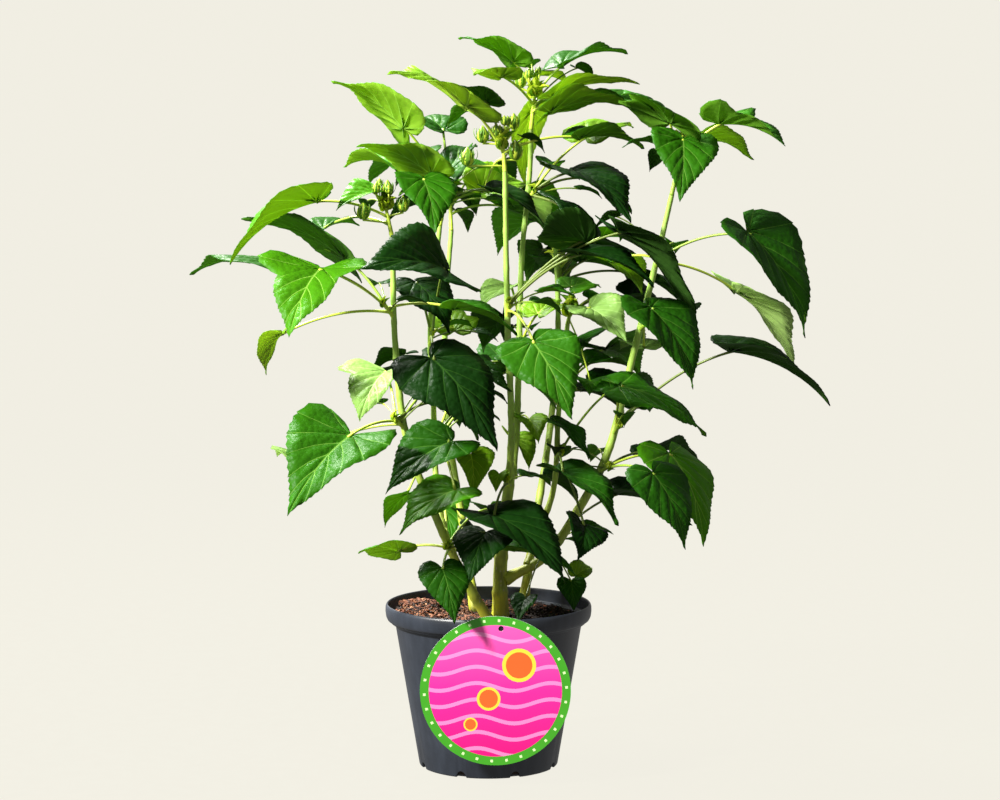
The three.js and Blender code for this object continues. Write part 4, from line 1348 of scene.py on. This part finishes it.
def blade_template(form, columns=VEIN_COLUMNS, between=LINES_BETWEEN_VEINS):
    """A blade laid flat: places and weights of its points, and triangles told apart by vein."""
    walk, shares = edge_line(BLADES[form]["edge"])
    lines = blade_lines(form, between)
    rows, triangles, veined = [], [], []
    for number, line in enumerate(lines):
        rows += line_points(number, line, walk, shares, columns)
    wide = len(columns)
    for number in range(len(lines) - 1):
        for column in range(wide - 1):
            a, b = number * wide + column, number * wide + column + 1
            triangles += [(a, b, b + wide), (a, b + wide, a + wide)]
            veined += [lines[number][2] == -1] * 2
    return join_halves(np.array(rows), triangles, veined, len(lines), wide)


def join_halves(rows, triangles, veined, lines, wide):
    """Mirrors the half, lays the midrib between the two and drops what has no area."""
    count = len(rows)
    points = np.vstack([rows, rows * (1, -1, 1, 1, 1, 1)])
    mirrored = [(c + count, b + count, a + count) for a, b, c in triangles]
    midrib = []
    for line in range(lines - 1):
        a, b = line * wide, (line + 1) * wide
        midrib += [(a + count, a, b), (a + count, b, b + count)]
    kinds = np.array(veined * 2 + [True] * len(midrib), int)
    keys = {}
    places = [(round(x, 5), round(y, 5)) for x, y in points[:, :2]]
    first = np.array([keys.setdefault(place, index) for index, place in enumerate(places)])
    faces = first[np.array(triangles + mirrored + midrib)]
    whole = (faces != np.roll(faces, 1, axis=1)).all(axis=1)
    faces, kinds = faces[whole], kinds[whole]
    used, faces = np.unique(faces, return_inverse=True)
    faces = faces.reshape(-1, 3)
    points = points[used]
    middle = np.abs(points[:, 1]) < 0.012
    points[middle, 3] = 1.0 - 0.7 * np.clip(points[middle, 0], 0, 1)
    corner = points[faces][:, :, :2]
    one, two = corner[:, 1] - corner[:, 0], corner[:, 2] - corner[:, 0]
    area = one[:, 0] * two[:, 1] - one[:, 1] * two[:, 0]
    return points, np.where((area > 0)[:, None], faces, faces[:, ::-1]), kinds


def rim_of(faces):
    """Edges of one side's faces that no other face shares, in the faces' own turn."""
    edges = np.vstack([faces[:, [0, 1]], faces[:, [1, 2]], faces[:, [2, 0]]])
    known = {tuple(edge) for edge in edges}
    return np.array([edge for edge in known if (edge[1], edge[0]) not in known])


TEMPLATES = {form: blade_template(form) for form in BLADES}
TEMPLATES["small"] = blade_template("heart", np.array([0.0, 0.34, 0.7, 1.0]), 2)
TEMPLATE_RIMS = {form: rim_of(template[1]) for form, template in TEMPLATES.items()}

LARGEST_SMALL_BLADE = 44
LEAF_HALF_THICKNESS = 0.16
SWELL = 0.012
RIPPLE = 0.021
RIPPLES_ROUND_THE_EDGE = 2.6
VEIN_PRESS = 0.005
VEIN_RIDGE = 0.014

# Tints of a blade, from dark to pale: its upper face, its veins, its underside, and the light that comes
# through it. All but s, the pale green of young leaves, are dealt to a leaf for how lit or shaded it
# looks, so they are painted light and shade.
TINTS = {
    "d": ((0.006, 0.036, 0.003), (0.030, 0.100, 0.012), (0.026, 0.076, 0.009), (0.07, 0.16, 0.012)),
    "m": ((0.016, 0.092, 0.003), (0.090, 0.240, 0.026), (0.052, 0.150, 0.012), (0.15, 0.32, 0.020)),
    "g": ((0.030, 0.155, 0.004), (0.160, 0.360, 0.045), (0.090, 0.230, 0.014), (0.23, 0.44, 0.025)),
    "b": ((0.058, 0.245, 0.004), (0.250, 0.480, 0.065), (0.165, 0.320, 0.018), (0.37, 0.57, 0.040)),
    "y": ((0.160, 0.345, 0.009), (0.470, 0.630, 0.090), (0.270, 0.420, 0.034), (0.50, 0.69, 0.075)),
    "p": ((0.210, 0.370, 0.085), (0.400, 0.600, 0.200), (0.340, 0.500, 0.150), (0.57, 0.75, 0.300)),
    "s": ((0.420, 0.560, 0.020), (0.560, 0.660, 0.080), (0.440, 0.560, 0.045), (0.70, 0.82, 0.080)),
}
TINT_ORDER = "dmgbyps"


def blade_finish(name, colour, roughness, depth, glow):
    """An even colour, quilted by the net of finest veins, with some light let through."""
    skin = Finish(name)
    net = skin.node("ShaderNodeTexVoronoi", None, {"Vector": skin.place(), "Scale": 210.0})
    relief = skin.bump(skin.noise(160.0, 3.0) * 0.6 - net, 0.7, depth)
    sockets = {"Base Color": (*colour, 1.0), "Roughness": roughness, "Specular IOR Level": 0.12}
    return skin.surface({**sockets, "Normal": relief}, glow)


def leaf_finishes():
    """Three looks for each tint: face, veins and underside."""
    looks = []
    for tint in TINT_ORDER:
        face, vein, under, through = TINTS[tint]
        looks.append(blade_finish(f"leaf_{tint}_face", face, 0.46, 0.0010, (through, 0.38)))
        bright = tuple(min(1.0, 1.5 * part) for part in through)
        looks.append(blade_finish(f"leaf_{tint}_vein", vein, 0.50, 0.0001, (bright, 0.40)))
        looks.append(blade_finish(f"leaf_{tint}_under", under, 0.66, 0.0005, (through, 0.34)))
    return looks


def leaf_shell(leaf, number):
    """One leaf's points and triangles, both faces and the rim between them."""
    blade = leaf["blade"]
    form = leaf["form"] if blade > LARGEST_SMALL_BLADE else "small"
    points, faces, kinds = TEMPLATES[form]
    rim = TEMPLATE_RIMS[form]
    draw = np.random.default_rng(900 + number)
    share, side, swell, ridge, column, edge_share = points.T
    swing = draw.uniform(0.6, 1.5)
    phase = draw.uniform(0, 2 * math.pi) + (side > 0) * draw.uniform(0, 2 * math.pi)
    wave = np.sin(phase + 2 * math.pi * RIPPLES_ROUND_THE_EDGE * edge_share)
    ripple = RIPPLE * swing * column**3 * wave
    curl = draw.uniform(-0.03, 0.05) * (np.abs(side) / 0.4) ** 2
    height = blade * (SWELL * swell + ripple + curl - VEIN_PRESS * ridge)
    under = height - LEAF_HALF_THICKNESS - blade * VEIN_RIDGE * ridge
    top = blade_points(leaf, share, side, height + LEAF_HALF_THICKNESS)
    low = blade_points(leaf, share, side, under)
    count = len(points)
    band = np.vstack([
        np.column_stack([rim[:, 1], rim[:, 0], rim[:, 0] + count]),
        np.column_stack([rim[:, 1], rim[:, 0] + count, rim[:, 1] + count]),
    ])
    tint = 3 * TINT_ORDER.index(leaf["tint"])
    triangles = np.vstack([faces, faces[:, ::-1] + count, band])
    looks = np.concatenate([tint + kinds, tint + 2 - kinds, np.full(len(band), tint)])
    return np.vstack([top, low]), triangles, looks


def ring_faces(rows, sides):
    """Triangles between rings of points, then the fans to the foot's point and the tip's point."""
    here = np.arange(sides)
    there = (here + 1) % sides
    faces = []
    for row in range(rows - 1):
        a, b = row * sides + here, row * sides + there
        faces += [np.column_stack([a, b, b + sides]), np.column_stack([a, b + sides, a + sides])]
    foot, top = rows * sides, (rows - 1) * sides
    faces.append(np.column_stack([there, here, np.full(sides, foot)]))
    faces.append(np.column_stack([top + here, top + there, np.full(sides, foot + 1)]))
    return np.vstack(faces)


def tube(points, radii, sides):
    """A round tube along points, closed at both ends, each ring turned as little as may be."""
    steps = np.gradient(points, axis=0)
    steps /= np.linalg.norm(steps, axis=1)[:, None]
    lead = np.cross(steps[0], UP if abs(steps[0][2]) < 0.9 else np.array([1.0, 0, 0]))
    turn = 2 * math.pi * np.arange(sides) / sides
    rings = []
    for place, ahead, radius in zip(points, steps, radii):
        lead = lead - ahead * (lead @ ahead)
        lead /= np.linalg.norm(lead)
        other = np.cross(ahead, lead)
        rings.append(place + radius * (np.cos(turn)[:, None] * lead + np.sin(turn)[:, None] * other))
    return np.vstack(rings + [points[:1], points[-1:]]), ring_faces(len(points), sides)


def join_all(name, parts, looks, smooth=True):
    """Joins (points in millimetres, triangles, look of each) into one piece."""
    points, triangles, look_of, count = [], [], [], 0
    for corners, faces, look in parts:
        points.append(corners * MILLIMETRE)
        triangles.append(faces + count)
        look_of.append(np.broadcast_to(look, len(faces)))
        count += len(corners)
    look_of = np.concatenate(look_of)
    return joined_mesh(name, np.vstack(points), np.vstack(triangles), looks, look_of, smooth)


# Lit, half-shaded and shaded copies of one stalk green: painted light and shade.
STALK_LOOKS = [
    plain_finish("stalk_lit", (0.480, 0.620, 0.055), 0.45, 1500, 0.0002),
    plain_finish("stalk_half_shaded", (0.260, 0.400, 0.034), 0.45, 1500, 0.0002),
    plain_finish("stalk_shaded", (0.130, 0.190, 0.020), 0.45, 1500, 0.0002),
]


def stalk_look(leaf):
    # Stalks of mid and dark leaves take the painted half shade and shade.
    return {"m": 1, "d": 2}.get(leaf["tint"], 0)


def side_shoots():
    shoots = []
    share = np.linspace(0, 1, SHOOT_RINGS)
    beat = share * SHOOT_JOINTS
    swell = 1 + 0.12 * np.exp(-(((beat - np.round(beat)) * 3.5) ** 2))
    radii = (SHOOT_RADII[0] + (SHOOT_RADII[1] - SHOOT_RADII[0]) * share) * swell
    for mass in FOLIAGE.values():
        foot, tip = shoot_of(mass)
        corners, faces = tube(foot + (tip - foot) * share[:, None], radii, SHOOT_SIDES)
        shoots.append((corners, faces, 0 if tip[0] < SHADED_FROM else 1))
    piece = join_all("side_shoots", shoots, STALK_LOOKS)
    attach(piece, "root")


def knee(share, size):
    rise, width = size
    return rise * np.exp(-((share / width) ** 2))


def leaf_stalks(leaves):
    stalks = []
    for leaf in leaves:
        fine = FINE_STALK_SHARE if leaf["blade"] < LARGEST_SMALL_BLADE else STALK_SHARE
        steps = max(6, int(np.linalg.norm(leaf["junction"] - leaf["foot"]) / 5))
        share = np.linspace(0, 1, steps + 1)
        knees = knee(share, KNEE_AT_FOOT) + knee(1 - share, KNEE_AT_BLADE)
        radii = STALK_RADIUS * fine * (1 - 0.15 * share + knees)
        corners, faces = tube(stalk_line(leaf, steps), radii, STALK_SIDES)
        stalks.append((corners, faces, stalk_look(leaf)))
    piece = join_all("leaf_stalks", stalks, STALK_LOOKS)
    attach(piece, "root")


CROWN_SHARES = {
    "leaves_top": (
        "top_rear", "top_front", "rear_right", "rear_mid", "rear_low", "front_mid", "low_front",
    ),
    "leaves_top_left": ("top_left_rear", "top_left", "left_upper", "left_lower"),
    "leaves_mid_left": ("mid_left_upper", "mid_left_lower", "foot_left"),
    "leaves_right": ("top_right", "right_upper", "right_mid", "right_lower", "right_low"),
    "leaves_mid_right": ("mid_right", "low_right", "foot_right"),
    "leaves_back": ("back_left_top", "back_left_low", "back_right_top", "back_right_low"),
}


def leaf_pieces(leaves):
    looks = leaf_finishes()
    for piece_name, masses in CROWN_SHARES.items():
        nodes = ["foliage_" + mass for mass in masses]
        own = [number for number, leaf in enumerate(leaves) if leaf["mass"] in nodes]
        shells = [leaf_shell(leaves[number], number) for number in own]
        piece = join_all(piece_name, shells, looks)
        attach(piece, "root")
        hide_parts(*nodes)


LEAVES = grow_leaves()
side_shoots()
leaf_stalks(LEAVES)
leaf_pieces(LEAVES)


# Flower buds: pointed green buds with five folded sepals, each in a ring of thin bracts, on slim stalks
# from the tips of the upper shoots. Every shoot ends in a tuft of crinkled young leaves.
SEPALS = 5
BRACTS = 9
BUD_SIDES = 20
BUD_RINGS = [
    (0.06, -0.5), (0.30, -0.40), (0.42, -0.20), (0.44, 0.0), (0.38, 0.22), (0.25, 0.44), (0.11, 0.62),
]
BUD_ENDS = np.array([(0, 0, -0.52), (0, 0, 0.75)])
SMALL_BUDS = 5
SMALL_BUD_SIZES = (5.0, 8.5)
BUD_STALK_RINGS = 9
BRACT_STEPS = 6
BRACT_SPREADS = (0.26, 0.50)
FULL_TUFT = 12
THIN_TUFT = 4
YOUNG_BLADES = (8, 21)
YOUNG_BLADES_IN_THIN_TUFT = (5, 10)


def bud_body(size):
    """A pointed bud on the origin, from half its size below to three quarters above."""
    turn = 2 * math.pi * np.arange(BUD_SIDES) / BUD_SIDES
    points = []
    for row, (radius, height) in enumerate(BUD_RINGS):
        fold = 1 + 0.10 * np.abs(np.cos(SEPALS / 2 * (turn + 0.12 * row)))
        reach = radius * fold / 1.05
        level = np.full(BUD_SIDES, height)
        points.append(np.column_stack([reach * np.cos(turn), reach * np.sin(turn), level]))
    return np.vstack(points + [BUD_ENDS]) * size, ring_faces(len(BUD_RINGS), BUD_SIDES)


def bract(size, turn, spread):
    """A thin leaf-like strip that stands out from the bud's foot and curves up beside it."""
    steps = np.linspace(0, 1, BRACT_STEPS)
    out = 0.16 + spread * np.sin(steps * 2.1)
    up = -0.48 + 1.02 * steps**1.1
    half = 0.080 * np.sin(np.pi * (0.14 + 0.84 * steps)) + 0.004
    axis = np.column_stack([out, np.zeros(BRACT_STEPS), up])
    left, right = axis + np.outer(half, (0, 1, 0)), axis - np.outer(half, (0, 1, 0))
    points = np.vstack([left, right, axis + (0.03, 0, -0.02)]) * size
    rows = []
    for step in range(BRACT_STEPS - 1):
        for a, b in ((0, 6), (6, 12), (12, 0)):
            rows += [(a + step, b + step, b + step + 1), (a + step, b + step + 1, a + step + 1)]
    rows += [(0, 12, 6), (5, 11, 17)]
    spin = np.array(Matrix.Rotation(turn, 3, "Z"))
    return points @ spin.T, np.array(rows)


BUD_LOOKS = [
    plain_finish("bud_stripe", (0.110, 0.250, 0.010), 0.45, 700, 0.0004, ((0.3, 0.5, 0.03), 0.2)),
    plain_finish("bud_pale", (0.560, 0.680, 0.050), 0.45, 700, 0.0004, ((0.7, 0.9, 0.1), 0.2)),
    plain_finish("bract_green", (0.130, 0.290, 0.012), 0.5, 0, 0, ((0.3, 0.5, 0.03), 0.2)),
]


def bud_seats():
    """Way, size, seat and stalk's start of the source's buds, with smaller ones round the same tips."""
    for number, mass in enumerate(FOLIAGE.values()):
        foot, tip = shoot_of(mass)
        for way, out, up, size in mass.get("buds", ()):
            share = min(max(up / (tip[2] - foot[2]) - 0.3, 0.2), 0.95)
            yield way, size, foot + heading(way) * out + UP * up, foot + (tip - foot) * share
        draw = np.random.default_rng(80 + number)
        for index in range(SMALL_BUDS if "buds" in mass else 0):
            way = GOLDEN_TURN * index + draw.uniform(0, 60)
            seat = tip + heading(way) * draw.uniform(3, 12) + UP * draw.uniform(5, 20)
            yield way, draw.uniform(*SMALL_BUD_SIZES), seat, tip - UP * 3.0


def bud_stalk(way, size, seat, start):
    """A slim stalk that bows a little outwards and thickens under the bud."""
    share = np.linspace(0, 1, BUD_STALK_RINGS)
    bow = share[:, None]
    line = start + (seat - UP * 0.5 * size - start) * bow
    line = line + heading(way) * 2.0 * np.sin(np.pi * bow)
    return tube(line, (0.85 + 0.5 * share**4) * min(1.0, size / 11), STALK_SIDES)


def flower_buds():
    bodies, collars, stems = [], [], []
    for number, (way, size, seat, start) in enumerate(bud_seats()):
        draw = np.random.default_rng(50 + number)
        corners, faces = bud_body(size)
        spin = np.array(Matrix.Rotation(draw.uniform(0, 6.28), 3, "Z"))
        striped = (faces.min(axis=1) % BUD_SIDES // 2) % 2
        bodies.append((corners @ spin.T + seat, faces, striped))
        for index in range(BRACTS):
            turn = 2 * math.pi * (index + draw.uniform(-0.2, 0.2)) / BRACTS
            points, faces = bract(size, turn, draw.uniform(*BRACT_SPREADS))
            collars.append((points + seat, faces, 2))
        stems.append((*bud_stalk(way, size, seat, start), 0))
    buds = join_all("flower_buds", bodies, BUD_LOOKS)
    rings = join_all("bud_bracts", collars, BUD_LOOKS, False)
    stalks = join_all("bud_stalks", stems, STALK_LOOKS)
    for piece in (buds, rings, stalks):
        face_outwards(piece, merge=False)
        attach(piece, "root")


def young_leaf(tip, full, index, draw):
    return {
        "junction": tip - UP * draw.uniform(0, 5),
        "blade": draw.uniform(*(YOUNG_BLADES if full else YOUNG_BLADES_IN_THIN_TUFT)),
        "fall": draw.uniform(-80, -15),
        "heading": GOLDEN_TURN * index + draw.uniform(-20, 20),
        "roll": draw.uniform(-25, 25),
        "fold": draw.uniform(30, 60),
        "form": "heart",
        "tint": "s" if index % 4 else "b",
    }


def young_leaves():
    looks = [slot.material for slot in bpy.data.objects["leaves_top"].material_slots]
    tufts = []
    for number, mass in enumerate(FOLIAGE.values()):
        tip = shoot_of(mass)[1]
        draw = np.random.default_rng(300 + number)
        full = "buds" in mass or mass["shoot"][1] > 70
        for index in range(FULL_TUFT if full else THIN_TUFT):
            leaf = young_leaf(tip, full, index, draw)
            tufts.append(leaf_shell(leaf, 700 + FULL_TUFT * number + index))
    piece = join_all("young_leaves", tufts, looks)
    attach(piece, "root")


flower_buds()
young_leaves()
